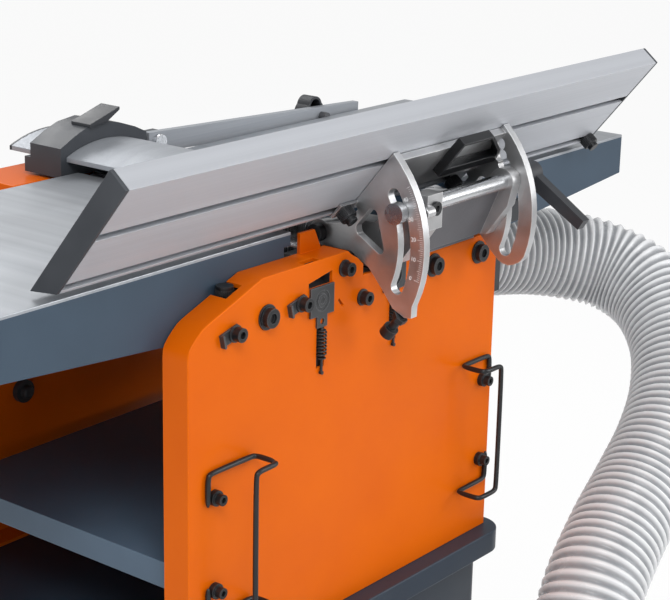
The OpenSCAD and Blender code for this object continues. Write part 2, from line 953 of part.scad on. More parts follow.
// Bearing plate of a feed roller, with the tongue that its spring pulls on
module roller_plate(x) {
    mid_z = roller_z + (plate_up - plate_down) / 2;
    tongue_z = roller_z - plate_down - tongue_h;
    y = [-panel_y - plate_t, -panel_y];
    difference() {
        union() {
            block([x - plate_w / 2, x + plate_w / 2], y, [roller_z - plate_down, roller_z + plate_up]);
            block([x - tongue_w / 2, x + tongue_w / 2], y, [tongue_z, roller_z - plate_down + over]);
        }
        difference() {
            rod_y(plate_ring_r, x, [y[0] - over, y[0] + plate_t / 2], mid_z);
            rod_y(plate_screw_r, x, [y[0] - 2 * over, y[1]], mid_z);
        }
        rod_y(plate_hex_r, x, [y[0] - over, y[0] + plate_t / 2], mid_z, $fn = 6);
        rod_y(tongue_hole_r, x, [y[0] - over, y[1] + over], tongue_z + tongue_h / 2);
    }
}

module roller_plates() {
    color([0.17, 0.17, 0.18])
        for (i = [-1, 1]) roller_plate(i * roller_x);
}

// Points along the coil
function coil_point(x, k) = let (a = 360 * k / spring_rings, n = spring_turns * spring_rings)
    [x + spring_r * cos(a), spring_y + spring_r * sin(a),
        spring_top_z + (spring_low_z - spring_top_z) * k / n];

module coil(x) {
    n = spring_turns * spring_rings;
    pts = [for (k = [0:n]) let (a = 360 * k / spring_rings, c = coil_point(x, k),
            out = [cos(a), sin(a), 0]) for (s = [0:spring_sides - 1])
        let (b = 360 * s / spring_sides) c + spring_wire_r * (cos(b) * out + [0, 0, sin(b)])];
    sides = [for (k = [0:n - 1], s = [0:spring_sides - 1]) let (s2 = (s + 1) % spring_sides,
            a = k * spring_sides, b = (k + 1) * spring_sides)
        each [[a + s, b + s, b + s2], [a + s, b + s2, a + s2]]];
    ends = [[for (s = [0:spring_sides - 1]) s],
        [for (s = [spring_sides - 1:-1:0]) n * spring_sides + s]];
    polyhedron(points = pts, faces = concat(sides, ends));
}

module roller_springs() {
    color([0.3, 0.3, 0.31])
        for (i = [-1, 1]) coil(i * roller_x);
}

module spring_hooks() {
    low = spring_low_z - spring_wire_r - fit;
    top = spring_top_z + spring_wire_r + fit;
    color([0.12, 0.12, 0.12])
        for (i = [-1, 1]) {
            rod_y(hook_root_r, i * roller_x, [spring_y - hook_root_r, -panel_y], hook_z);
            rod_z(hook_r, i * roller_x, spring_y, [hook_z, low]);
            rod_z(spring_r, i * roller_x, spring_y, [low - hook_cap_t, low]);
            rod_z(spring_r, i * roller_x, spring_y, [top, top + hook_cap_t]);
            rod_z(hook_r, i * roller_x, spring_y, [top, roller_z - plate_down - tongue_h - fit]);
        }
}

module chip_hood() {
    color([0.3, 0.32, 0.34]) {
        difference() {
            block([hood_in_x, hood_x], [-hood_y, hood_y], [hood_low_z, hood_top_z]);
            block([hood_in_x + sheet, hood_x + over], [-hood_y + sheet, hood_y - sheet],
                [hood_low_z + sheet, hood_top_z - sheet]);
            block([-hood_mouth_x, hood_mouth_x], [-hood_y + sheet, hood_y - sheet],
                [hood_top_z - sheet - over, hood_top_z + over]);
        }
        difference() {
            block([hood_x, box_x], [-hood_y, hood_y], [box_low_z, hood_top_z]);
            block([hood_x + sheet, box_x - sheet], [-hood_y + sheet, hood_y - sheet],
                [box_low_z + sheet, hood_top_z - sheet]);
            block([hood_x - over, hood_x + sheet + over], [-hood_y + sheet, hood_y - sheet],
                [hood_low_z + sheet, hood_top_z - sheet]);
            rod_x(port_r - port_wall, [box_x - sheet - over, box_x + over], 0, port_z);
        }
    }
}

module hood_port() {
    color([0.1, 0.1, 0.11])
        difference() {
            union() {
                rod_x(port_r, [box_x, port_end_x], 0, port_z);
                rod_x(port_collar_r, [box_x, port_collar_x], 0, port_z);
            }
            rod_x(port_r - port_wall, [box_x - over, port_end_x + over], 0, port_z);
        }
}

module bed() {
    color([0.13, 0.15, 0.18])
        difference() {
            block([-bed_x, bed_x], [-bed_y, bed_y], [bed_low_z, bed_z]);
            for (i = [-1, 1])
                block(i < 0 ? [-bed_x + bed_rim, -column_r - bed_rim] : [column_r + bed_rim, bed_x - bed_rim],
                    [-bed_y + bed_rim, bed_y - bed_rim], [bed_low_z - over, bed_z - bed_rib_t]);
        }
}

module bed_column() {
    color([0.6, 0.61, 0.63]) rod_z(column_r, 0, 0, [column_low_z, bed_low_z]);
}

module bed_sleeve() {
    color([0.2, 0.21, 0.22])
        difference() {
            union() {
                rod_z(sleeve_r, 0, 0, [sleeve_low_z, tray_z]);
                rod_z(flange_r, 0, 0, [tray_under_z - flange_t, tray_under_z]);
            }
            rod_z(column_r + fit, 0, 0, [sleeve_low_z - over, tray_z + over]);
        }
}

module handwheel() {
    color([0.1, 0.1, 0.11]) {
        rod_y(wheel_shaft_r, wheel_x, [wheel_in_y, wheel_y + wheel_t], wheel_z);
        rod_y(collar_r, wheel_x, [cabinet_y + gap, cabinet_y + gap + collar_t], wheel_z);
        rod_y(collar_r, wheel_x, [cabinet_y - sheet - gap - collar_t, cabinet_y - sheet - gap], wheel_z);
        rod_y(wheel_hub_r, wheel_x, [wheel_y, wheel_y + wheel_t], wheel_z);
        difference() {
            union() {
                translate([wheel_x, wheel_y + wheel_t / 2, wheel_z]) rotate([90, 0, 0])
                    rotate_extrude() translate([wheel_r - wheel_rim_r, 0]) circle(wheel_rim_r, $fn = 24);
                for (i = [0:spoke_n - 1])
                    translate([wheel_x, wheel_y + wheel_t / 2, wheel_z]) rotate([0, i * 360 / spoke_n, 0])
                        rod_x(spoke_r, [0, wheel_r - wheel_rim_r], 0, 0);
                rod_y(grip_r, wheel_x + crank_at, [wheel_y + wheel_t / 2, wheel_y + wheel_t], wheel_z);
            }
        }
        rod_y(grip_pin_r, wheel_x + crank_at, [wheel_y + wheel_t, wheel_y + wheel_t + gap + grip_l], wheel_z);
    }
}

module handwheel_grip() {
    color([0.06, 0.06, 0.07])
        difference() {
            rod_y(grip_r, wheel_x + crank_at,
                [wheel_y + wheel_t + gap, wheel_y + wheel_t + gap + grip_l], wheel_z);
            rod_y(grip_pin_r + fit, wheel_x + crank_at, [wheel_y, wheel_y + wheel_t + grip_l + over], wheel_z);
        }
}

// One table casting, drawn for the outfeed side with the mouth at low X
module table_casting() {
    difference() {
        union() {
            plate_y([-table_y, table_y])
                polygon([[mouth_x, table_z], [table_l, table_z], [table_l, table_z - table_t],
                    [mouth_x + table_t - lip_t, table_z - table_t], [mouth_x, table_z - lip_t]]);
            plate_y([-table_y, table_y])
                polygon([[apron_x, table_z - table_t], [table_l, table_z - table_t],
                    [table_l, table_z - apron_end_h], [apron_x, table_z - apron_mouth_h]]);
        }
        block([apron_x - over, table_l - apron_t], [-table_y + apron_t, table_y - apron_t],
            [table_z - apron_mouth_h - over, table_z - table_t]);
    }
}

module infeed_table() {
    color([0.72, 0.74, 0.76])
        difference() {
            mirror([1, 0, 0]) table_casting();
            block([notch_x[0], 0], [-table_y - over, notch_y], [notch_z, table_z + over]);
        }
}

module outfeed_table() {
    color([0.72, 0.74, 0.76]) {
        difference() {
            table_casting();
            block([0, notch_x[1]], [-table_y - over, notch_y], [notch_z, table_z + over]);
        }
        block([apron_x, notch_x[1] + pocket_t], [notch_y, notch_y + pocket_t], [pocket_z, table_z - table_t]);
    }
}

module depth_lever() {
    color([0.12, 0.12, 0.13]) {
        rod_y(lever_shaft_r, lever_x, [lever_in_y, lever_y[1]], lever_z);
        rod_y(lever_collar_r, lever_x, [panel_y + gap, lever_y[1]], lever_z);
        translate([lever_x, 0, lever_z]) rotate([0, -lever_turn, 0])
            block([0, lever_l], lever_y, [-lever_w / 2, lever_w / 2]);
    }
}

module depth_knob() {
    color([0.06, 0.06, 0.07])
        translate([lever_x, 0, lever_z]) rotate([0, -lever_turn, 0])
            rod_y(lever_knob_r, lever_l - lever_w / 2, [lever_y[1], lever_y[1] + lever_knob_l], 0);
}

module carrier_arm_shape(cheek = false) {
    difference() {
        union() {
            translate([pivot_y, pivot_z]) circle(boss_r - hole_gap);
            translate([clamp_y, clamp_z]) circle(clamp_boss_r);
            polygon([[carrier_back_y, cradle_z], [-panel_y, cradle_z], [-panel_y, carrier_lip_z],
                [carrier_front_y, carrier_lip_z], [clamp_y - shin_out, clamp_z - shin_down],
                [clamp_y - clamp_boss_r, clamp_z], [clamp_y, clamp_z + clamp_boss_r],
                [arm_knee_y, arm_knee_z], [pivot_y, arm_top_z], [pivot_y, pivot_z - boss_r + hole_gap],
                [carrier_back_y, carrier_lip_z]]);
            if (cheek)
                translate([clamp_y - cheek_out, clamp_z - cheek_down])
                    square([cheek_out, cheek_down + cheek_up]);
        }
        translate([clamp_y, clamp_z]) circle(rod_r);
        translate([pivot_y, pivot_z]) circle(pivot_r);
    }
}

module carrier() {
    color([0.62, 0.63, 0.65]) {
        plate_x(arm_left_x) carrier_arm_shape(cheek = true);
        plate_x(arm_right_x) carrier_arm_shape();
        block([arm_left_x[1], arm_right_x[0]], [-panel_y, carrier_back_y], [cradle_z, cradle_z + carrier_t]);
        plate_x([arm_left_x[1], arm_right_x[0]])
            polygon([[-panel_y, carrier_lip_z], [carrier_front_y + wall_in, carrier_lip_z],
                [clamp_y + wall_back, clamp_z - bar_r - hole_gap],
                [clamp_y + wall_back + 2 * wall_t, clamp_z - bar_r - hole_gap],
                [-panel_y, cradle_z + carrier_t]]);
        difference() {
            rod_x(boss_r - hole_gap, [carrier_boss_x, arm_left_x[0]], pivot_y, pivot_z);
            rod_x(pivot_r, [carrier_boss_x - over, arm_left_x[0] + over], pivot_y, pivot_z);
        }
    }
}

module pivot_screw(x_head, x_end) {
    side = x_end > x_head ? 1 : -1;
    head = x_head - side * cap_head_t;
    difference() {
        union() {
            rod_x(cap_head_r, side > 0 ? [head, x_head] : [x_head, head], pivot_y, pivot_z);
            rod_x(pivot_r, side > 0 ? [x_head, x_end] : [x_end, x_head], pivot_y, pivot_z);
        }
        rod_x(hex_r, side > 0 ? [head - over, head + hex_d] : [head - hex_d, head + over], pivot_y, pivot_z);
    }
}

// Screw in the front of the left arm that locks the clamp rod
module cheek_screw() {
    front = clamp_y - cheek_out;
    difference() {
        rod_y(cheek_screw_r, mid(arm_left_x), [front - cheek_screw_t, front], clamp_z);
        rod_y(cheek_hex_r, mid(arm_left_x), [front - cheek_screw_t - over, front - cheek_screw_t + cheek_hex_d],
            clamp_z, $fn = 6);
    }
}

module pivot_screws() {
    color([0.08, 0.08, 0.09]) {
        pivot_screw(quad_x[0] - head_gap, arm_left_x[1]);
        pivot_screw(quad_x[1] + quad_t + head_gap, arm_right_x[0]);
        cheek_screw();
    }
}

module clamp_bar() {
    color([0.75, 0.76, 0.78]) {
        rod_x(rod_r, [quad_x[0] - head_gap, hub_x[0]], clamp_y, clamp_z);
        rod_x(head_r, [quad_x[0] - head_gap - head_t, quad_x[0] - head_gap], clamp_y, clamp_z);
        rod_x(bar_r, [arm_left_x[1], arm_right_x[0]], clamp_y, clamp_z);
        rod_x(head_r, [quad_x[1] + quad_t + head_gap, quad_x[1] + quad_t + head_gap + washer_t],
            clamp_y, clamp_z);
    }
}

module clamp_lever() {
    color([0.06, 0.06, 0.07]) {
        difference() {
            rod_x(hub_r, hub_x, clamp_y, clamp_z);
            rod_x(rod_r, [hub_x[0] - over, hub_x[0]], clamp_y, clamp_z);
        }
        translate([0, clamp_y, clamp_z]) rotate([lever_deg, 0, 0])
            plate_x(grip_x)
                polygon([[0, -lever_root_w / 2], [0, lever_root_w / 2], [-lever_len, lever_tip_w / 2],
                    [-lever_len, -lever_tip_w / 2]]);
    }
}

module angle_pointer() {
    color([0.7, 0.71, 0.73]) {
        translate([0, clamp_y, clamp_z]) {
            rod_x(pointer_r, pointer_x, -clamp_boss_r - pointer_r, 0);
            block(pointer_x, [-clamp_boss_r - pointer_r, -clamp_boss_r + pointer_r], [-pointer_r, pointer_r]);
        }
    }
}

// Section of the fence, upright, measured from the pivot
module fence_outline() {
    polygon([[fence_front, fence_low], [fence_front, fence_top], [fence_back, fence_top],
        [fence_back, fence_low + fence_t]]);
}

module fence_slot(s) {
    translate([fence_back, fence_low + s]) {
        translate([-over, -slot_w / 2]) square([slot_lip + 2 * over, slot_w]);
        translate([slot_lip, -tee_w / 2]) square([tee_d, tee_w]);
    }
}

module fence_section() {
    difference() {
        fence_outline();
        fence_slot(slot_low_s);
        fence_slot(slot_high_s);
        for (z = [[slot_low_s + tee_w / 2, slot_high_s - tee_w / 2], [slot_high_s + tee_w / 2, fence_h]])
            translate([fence_back + chamber_wall, fence_low + z[0] + chamber_wall])
                square([fence_t - 2 * chamber_wall, z[1] - z[0] - 2 * chamber_wall]);
    }
}

module fence() {
    color([0.8, 0.81, 0.83])
        tilted() plate_x([fence_x0 + cap_t, fence_x0 + fence_l - cap_t]) fence_section();
}

module fence_caps() {
    color([0.08, 0.08, 0.09])
        tilted() {
            plate_x([fence_x0, fence_x0 + cap_t]) fence_outline();
            plate_x([fence_x0 + fence_l - cap_t, fence_x0 + fence_l]) fence_outline();
        }
}

// Knurled screw in the lower slot of the fence, standing on a face at back
module slot_screw(x, back, hold) {
    s = fence_low + slot_low_s;
    tee = hold ? fence_back + slot_lip : fence_back + slot_lip + tee_gap;
    rod_y(knurl_r, x, [back - knurl_l, back], s);
    rod_y(tip_r, x, [back - knurl_l - tip_l, back - knurl_l], s);
    rod_y(screw_r, x, [back, tee], s);
    rod_y(tip_r, x, [tee, tee + tip_l - tee_gap], s);
}

module fence_stop() {
    color([0.1, 0.1, 0.11]) tilted() slot_screw(stop_x, fence_back, true);
}

module slot_screws() {
    color([0.1, 0.1, 0.11])
        tilted() {
            for (x = screw_x) slot_screw(x, quad_back - lug_t, false);
            rest_bolt(quad_x[0] + rest_x, -quad_r * rest_share);
        }
}

// Adjusting bolt below the tip of the left quadrant
module rest_bolt(x, y) {
    rod_z(rest_r, x, y, [rest_top - rest_l, rest_top]);
    rod_z(rest_nut_r, x, y, [rest_top - gap - rest_nut_h, rest_top - gap], $fn = 6);
    rod_z(rest_head_r, x, y, [rest_top - rest_l - rest_head_h / 2, rest_top - rest_l + rest_head_h / 2]);
}

// The left quadrant ends in a tip, the right one is rounded
module quadrant_shape(low_deg, end_shares) {
    rim = [for (a = [rim_top_deg:-rim_step_deg:low_deg]) polar(quad_r, a)];
    boss = [for (b = [boss_low_deg:-slot_end_deg:90]) polar(boss_r, b)];
    difference() {
        polygon(concat([[quad_back, quad_foot_top]], rim,
            scaled(end_shares, quad_r), boss, [[recess_y, recess_z[0]], [recess_y, recess_z[1]]]));
        circle(pivot_r + fit);
        clamp_slot();
        offset(r = quad_t / 2) offset(delta = -quad_t / 2) polygon(scaled(window_shares, quad_r));
    }
}

module clamp_slot() {
    half = clamp_slot_w / 2;
    step = rim_step_deg / 2;
    along = [for (a = [slot_low_deg + step:step:slot_high_deg - step]) a];
    polygon(concat(
        [for (a = along) polar(slot_r + half, a)],
        [for (b = [0:slot_end_deg:180]) polar(slot_r, slot_high_deg) + polar(half, slot_high_deg + b)],
        [for (i = [len(along) - 1:-1:0]) polar(slot_r - half, along[i])],
        [for (b = [0:slot_end_deg:180]) polar(slot_r, slot_low_deg) + polar(half, slot_low_deg + 180 + b)]));
}

module quadrants() {
    color([0.66, 0.67, 0.69])
        tilted() {
            plate_x([quad_x[0], quad_x[0] + quad_t]) quadrant_shape(rim_low_deg, tip_shares);
            plate_x([quad_x[1], quad_x[1] + quad_t])
                difference() {
                    quadrant_shape(round_low_deg, round_shares);
                    for (h = hole_shares)
                        translate(polar(quad_r * h[0], h[1])) circle(hole_r);
                }
            block([quad_x[0] + quad_t, quad_x[1]], [quad_back - web_t, quad_back], web_z);
            for (x = quad_x)
                difference() {
                    block([x - lug_x, x], [quad_back - lug_t, quad_back], lug_z);
                    rod_y(screw_r, x == quad_x[0] ? screw_x[0] : screw_x[1],
                        [quad_back - lug_t - over, quad_back + over], fence_low + slot_low_s);
                }
        }
}

module bracket_outline() {
    polygon([for (s = bracket_shares) [bracket_x + bracket_l * s[0], bracket_z + bracket_h * s[1]]]);
}

// Bent strip on the web, standing on a straight foot
module web_bracket() {
    y0 = quad_back - web_t;
    color([0.12, 0.12, 0.13])
        tilted()
            plate_y([y0 - bracket_d, y0])
                difference() {
                    bracket_outline();
                    difference() {
                        offset(delta = -bracket_t) bracket_outline();
                        translate([bracket_x, bracket_z]) square([bracket_l, bracket_foot_h]);
                    }
                }
}

module guard_bracket() {
    color([0.2, 0.21, 0.22]) {
        block([guard_root_x - root_plate_w / 2, guard_root_x + root_plate_w / 2],
            [table_y, arm_y[0] - gap], [root_plate_z, table_z - lip_t]);
        rod_y(stud_r, guard_root_x, [table_y, knob_y[1] - knob_wall], guard_root_z);
    }
}

module guard_arm() {
    lean = atan((guard_piv_z - guard_root_z) / (guard_root_x - guard_piv_x));
    color([0.75, 0.76, 0.78])
        difference() {
            translate([guard_root_x, 0, guard_root_z]) rotate([0, lean, 0])
                block([arm_x0 - guard_root_x, arm_x1 - guard_root_x], arm_y, [-arm_h / 2, arm_h / 2]);
            rod_y(stud_r + fit, guard_root_x, [arm_y[0] - over, arm_y[1] + over], guard_root_z);
            rod_y(guard_bolt_r, guard_piv_x, [arm_y[0] - over, arm_y[1] + over], guard_piv_z);
        }
}

module guard_knob() {
    color([0.1, 0.1, 0.11])
        difference() {
            plate_y(knob_y) knob_shape(0);
            plate_y([knob_y[0] - over, knob_y[1] - knob_wall])
                difference() {
                    knob_shape(knob_wall);
                    translate([guard_root_x, guard_root_z]) circle(stud_r + knob_wall);
                }
            rod_y(stud_r + fit, guard_root_x, [knob_y[0] - over, knob_y[1] - knob_wall + fit], guard_root_z);
        }
}

module knob_shape(inset) {
    translate([guard_root_x, guard_root_z])
        union() {
            circle(knob_lobe_r - inset + stud_r);
            for (a = [90, 210, 330])
                translate([(knob_r - knob_lobe_r) * cos(a), (knob_r - knob_lobe_r) * sin(a)])
                    circle(knob_lobe_r - inset);
        }
}

module guard_bolt() {
    color([0.7, 0.71, 0.73]) {
        rod_y(guard_head_r, guard_piv_x, [arm_y[0] - guard_head_t, arm_y[0]], guard_piv_z);
        rod_y(guard_bolt_r, guard_piv_x, [arm_y[0], holder_ear_y[1] + gap], guard_piv_z);
    }
}

// Arched section of the guard, moved out by grow
module guard_shape(grow) {
    w = (guard_x1 - guard_x0) / 2;
    r = (w * w + guard_rise * guard_rise) / (2 * guard_rise);
    translate([mid([guard_x0, guard_x1]), guard_low_z])
        intersection() {
            difference() {
                translate([0, guard_rise - r]) circle(r + guard_t + grow, $fn = 160);
                translate([0, guard_rise - r]) circle(r - grow, $fn = 160);
            }
            translate([-w - grow, -grow]) square([2 * w + 2 * grow, 2 * guard_rise + guard_t]);
        }
}

function holder_at(s) = [holder_x[0] + (holder_x[1] - holder_x[0]) * s[0], holder_z + holder_h * s[1]];

module guard_holder() {
    back = holder_y[1] + holder_foot;
    color([0.62, 0.63, 0.65])
        difference() {
            union() {
                plate_y(holder_y) polygon([for (s = holder_shares) holder_at(s)]);
                block(holder_x, [holder_y[1], back], [holder_z, holder_z + holder_foot_h]);
                block([holder_x[1] - holder_side, holder_ear_x[1]], holder_ear_y,
                    [holder_z, holder_z + holder_ear_h]);
            }
            plate_y([holder_y[0] - over, back + over]) guard_shape(gap);
            rod_y(guard_bolt_r + fit, guard_piv_x,
                [holder_ear_y[0] - over, holder_ear_y[1] + over], guard_piv_z);
        }
}

// Sprung flap on the crown of the holder
module guard_clip() {
    a = holder_at(holder_shares[3]);
    b = holder_at(holder_shares[4]);
    color([0.1, 0.1, 0.11])
        plate_y(flap_y)
            polygon([a, b, b + [flap_reach, flap_rise], b + [flap_reach, flap_rise + flap_t], a + [0, flap_t]]);
}

module guard_plate() {
    color([0.72, 0.73, 0.75]) plate_y([guard_y[0] + trim_t, guard_y[1] - trim_t]) guard_shape(0);
}

module guard_trim() {
    color([0.08, 0.08, 0.09]) {
        plate_y([guard_y[0], guard_y[0] + trim_t]) guard_shape(0);
        plate_y([guard_y[1] - trim_t, guard_y[1]]) guard_shape(0);
    }
}

module panel_bolts() {
    color([0.08, 0.08, 0.09]) {
        for (p = bolt_at) panel_screw(p, bolt_r, bolt_head_t, bolt_washer_r, bolt_washer_t);
        for (p = [small_at[0], small_at[1]]) panel_screw(p, small_r, small_t, small_washer_r, bolt_washer_t);
        for (p = clip_at)
            translate([0, -strip_t, 0]) panel_screw(p, small_r, small_t, small_washer_r, bolt_washer_t);
        for (w = wire_at, z = [wire_top_z, wire_low_z])
            panel_screw([w[0], z], eye_head_r, eye_head_t, eye_r, eye_t);
    }
}

module panel_clips() {
    color([0.14, 0.14, 0.15])
        for (p = clip_at)
            translate([p[0], -panel_y, p[1]]) rotate([0, strip_deg, 0]) {
                block([-strip_w / 2, strip_l - strip_w / 2], [-strip_t, 0], [-strip_w / 2, strip_w / 2]);
                block([strip_l - strip_w / 2 - strip_t, strip_l - strip_w / 2], [-strip_out, -strip_t],
                    [-strip_w / 2, strip_w / 2]);
            }
}

module stop_screw() {
    color([0.08, 0.08, 0.09]) {
        rod_z(stop_screw_r, stop_screw_x, stop_screw_y, stop_screw_z);
        rod_z(stop_stem_r, stop_screw_x, stop_screw_y, [stop_stem_z, stop_screw_z[0]]);
        block([stop_screw_x - stop_screw_r, stop_screw_x + stop_screw_r],
            [-panel_face_y, stop_screw_y + stop_screw_r], [stop_stem_z - stop_screw_r, stop_stem_z]);
    }
}

// Bent wire loop beside one edge of the near panel
function wire_path(x, side, far, leg) = let (y0 = -panel_y - wire_r, y1 = -panel_y - wire_out,
        top = wire_top_z + wire_reach, low = wire_low_z - wire_reach, at = x + side * (eye_r + wire_r + fit))
    [[at, y0, wire_top_z - eye_r], [at, y0, top], [x - side * far, y0, top], [x - side * far, y1, top],
        [x - side * leg, y1, top], [x - side * leg, y1, low], [x - side * far, y1, low],
        [x - side * far, y0, low], [at, y0, low], [at, y0, wire_low_z + eye_r]];
// Route with each corner eased into a bend
function eased(p, e) = let (n = len(p) - 1) concat([p[0]],
    [for (i = [1:n - 1]) let (a = unit(p[i - 1] - p[i]), b = unit(p[i + 1] - p[i]))
        each [p[i] + e * a, p[i] + e * (a + b) / 4, p[i] + e * b]], [p[n]]);
function turn_at(p, i) = unit(p[min(i + 1, len(p) - 1)] - p[max(i - 1, 0)]);
function wire_ring(c, dir, r) = let (u = unit(cross(wire_up, dir)), v = cross(dir, u))
    [for (s = [0:wire_sides - 1]) let (a = 360 * s / wire_sides) c + r * (cos(a) * u + sin(a) * v)];

module wire_bracket(x, side, far, leg) {
    path = eased(wire_path(x, side, far, leg), wire_bend);
    n = len(path);
    h = wire_sides;
    pts = [for (i = [0:n - 1]) each wire_ring(path[i], turn_at(path, i), wire_r)];
    skin = [for (k = [0:n - 2], s = [0:h - 1]) let (s2 = (s + 1) % h, a = k * h, b = (k + 1) * h)
        each [[a + s, b + s, b + s2], [a + s, b + s2, a + s2]]];
    ends = [[for (s = [0:h - 1]) s], [for (s = [h - 1:-1:0]) (n - 1) * h + s]];
    polyhedron(points = pts, faces = concat(skin, ends));
}

module wire_brackets() {
    color([0.08, 0.08, 0.09])
        for (i = [0, 1]) wire_bracket(wire_at[i][0], wire_at[i][1], wire_far[i], wire_leg[i]);
}

module side_latch() {
    color([0.08, 0.08, 0.09]) {
        block([panel_x, panel_x + latch_x], latch_y, latch_z);
        block([panel_x, panel_x + latch_arm_x], latch_y, [latch_z[1] - latch_arm_h, latch_z[1]]);
    }
}

module switch_box() {
    color([0.1, 0.1, 0.11])
        difference() {
            block(switch_x, [cabinet_y, cabinet_y + switch_d], switch_z);
            rod_y(button_r + gap, switch_mid_x,
                [cabinet_y + switch_d - button_bed, cabinet_y + switch_d + over], start_z);
            rod_y(button_r + gap, switch_mid_x,
                [cabinet_y + switch_d - button_bed, cabinet_y + switch_d + over], stop_z);
        }
}

module start_button() {
    color([0.1, 0.45, 0.16])
        rod_y(button_r, switch_mid_x,
            [cabinet_y + switch_d - button_bed + button_l / 2, cabinet_y + switch_d + button_l / 4], start_z);
}

module stop_button() {
    color([0.72, 0.08, 0.08]) {
        rod_y(button_r, switch_mid_x,
            [cabinet_y + switch_d - button_bed + button_l / 2, cabinet_y + switch_d + button_l], stop_z);
        rod_y(stop_r, switch_mid_x,
            [cabinet_y + switch_d + button_l, cabinet_y + switch_d + 2 * button_l], stop_z);
    }
}

// Rings of the hose along its route
function route_at(i, t) = spline(route[max(i - 1, 0)], route[i], route[i + 1],
    route[min(i + 2, len(route) - 1)], t);
function ring(c, dir, r) = let (u = unit(cross(hose_up, dir)), v = cross(dir, u))
    [for (s = [0:hose_sides - 1]) let (a = 360 * (s + 0.5) / hose_sides) c + r * (cos(a) * u + sin(a) * v)];
function heading(i, t) = let (e = 0.01) unit(route_at(i, min(t + e, 1)) - route_at(i, max(t - e, 0)));
function ribs(i) = max(1, round(norm(route[i + 1] - route[i]) / rib_pitch));

module hose() {
    wide = 1 / cos(180 / hose_sides);
    crest = hose_d / 2 * wide;
    valley = (hose_d / 2 - rib_d) * wide;
    bore = hose_bore / 2 * wide;
    last = len(route) - 2;
    outer = [for (i = [0:last]) let (n = ribs(i)) for (k = [0:2 * n - 1 + (i == last ? 1 : 0)])
        let (t = k / (2 * n)) ring(route_at(i, t), heading(i, t), k % 2 == 0 ? valley : crest)];
    inner = [for (i = [0:last]) let (n = 3) for (k = [0:n - 1 + (i == last ? 1 : 0)])
        let (t = k / n) ring(route_at(i, t), heading(i, t), bore)];
    no = len(outer);
    ni = len(inner);
    h = hose_sides;
    pts = concat([for (r = outer) each r], [for (r = inner) each r]);
    q = no * h;
    skin = [for (k = [0:no - 2], s = [0:h - 1]) let (s2 = (s + 1) % h, a = k * h, b = (k + 1) * h)
        each [[a + s, b + s, b + s2], [a + s, b + s2, a + s2]]];
    wall = [for (k = [0:ni - 2], s = [0:h - 1]) let (s2 = (s + 1) % h, a = q + k * h, b = q + (k + 1) * h)
        each [[a + s, b + s2, b + s], [a + s, a + s2, b + s2]]];
    mouth = [for (s = [0:h - 1]) let (s2 = (s + 1) % h) each [[s, s2, q + s2], [s, q + s2, q + s]]];
    tail = [for (s = [0:h - 1]) let (s2 = (s + 1) % h, a = (no - 1) * h, b = q + (ni - 1) * h)
        each [[a + s, b + s2, a + s2], [a + s, b + s, b + s2]]];
    color([0.82, 0.83, 0.84])
        polyhedron(points = pts, faces = concat(skin, wall, mouth, tail));
}

module hose_cuff() {
    end = route[len(route) - 1];
    color([0.08, 0.08, 0.09])
        difference() {
            union() {
                rod_x(port_r, [end[0] - gap, end[0] + cuff_plug_l], end[1], end[2]);
                rod_x(cuff_r - cuff_wall, [end[0] - cuff_l, end[0] - gap], end[1], end[2]);
                rod_x(cuff_r, [end[0] - cuff_ring_l, end[0] - gap], end[1], end[2]);
                rod_x(cuff_r, [end[0] - cuff_l, end[0] - cuff_l + cuff_ring_l], end[1], end[2]);
            }
            rod_x(port_r - cuff_wall, [end[0] - cuff_l - over, end[0] + cuff_plug_l + over], end[1], end[2]);
        }
}

floor_rails();
cabinet();
tray();
near_panel();
far_panel();
bearing_blocks();
table_mounts();
tie_bars();
drive_cover();
motor();
motor_pulley();
drive_belt();
cutter_block();
cutter_knives();
cutter_pulley();
infeed_roller();
outfeed_roller();
roller_plates();
roller_springs();
spring_hooks();
chip_hood();
hood_port();
bed();
bed_column();
bed_sleeve();
handwheel();
handwheel_grip();
infeed_table();
outfeed_table();
depth_lever();
depth_knob();
carrier();
pivot_screws();
clamp_bar();
clamp_lever();
angle_pointer();
fence();
fence_caps();
fence_stop();
quadrants();
slot_screws();
web_bracket();
guard_bracket();
guard_arm();
guard_knob();
guard_bolt();
guard_holder();
guard_clip();
guard_plate();
guard_trim();
panel_bolts();
panel_clips();
stop_screw();
wire_brackets();
side_latch();
switch_box();
start_button();
stop_button();
hose();
hose_cuff();
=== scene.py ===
"""Looks of a combination planer thicknesser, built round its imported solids.

Metres, in the frame of the solids.
"""
import json
import math

import bpy
from mathutils import Matrix, Vector


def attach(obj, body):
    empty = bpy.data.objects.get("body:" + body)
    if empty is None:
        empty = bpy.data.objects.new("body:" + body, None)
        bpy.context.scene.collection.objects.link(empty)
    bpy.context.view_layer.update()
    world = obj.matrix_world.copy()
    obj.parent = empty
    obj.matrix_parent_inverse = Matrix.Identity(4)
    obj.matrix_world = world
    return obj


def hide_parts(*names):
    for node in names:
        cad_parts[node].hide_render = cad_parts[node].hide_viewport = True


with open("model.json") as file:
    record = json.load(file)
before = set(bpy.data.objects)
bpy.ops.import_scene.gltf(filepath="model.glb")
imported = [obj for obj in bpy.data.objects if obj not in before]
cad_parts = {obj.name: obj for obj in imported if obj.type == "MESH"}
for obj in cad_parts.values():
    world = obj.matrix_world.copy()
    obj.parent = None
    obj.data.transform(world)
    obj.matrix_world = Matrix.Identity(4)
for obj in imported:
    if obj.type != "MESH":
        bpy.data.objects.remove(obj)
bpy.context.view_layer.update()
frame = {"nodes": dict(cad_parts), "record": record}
MM = 0.001
BODY_OF = {
    node: body
    for body, nodes in frame["record"]["behaviour"]["bodies"].items()
    for node in nodes
}


def at(x, y, z):
    """A place given in millimetres."""
    return Vector((x, y, z)) * MM


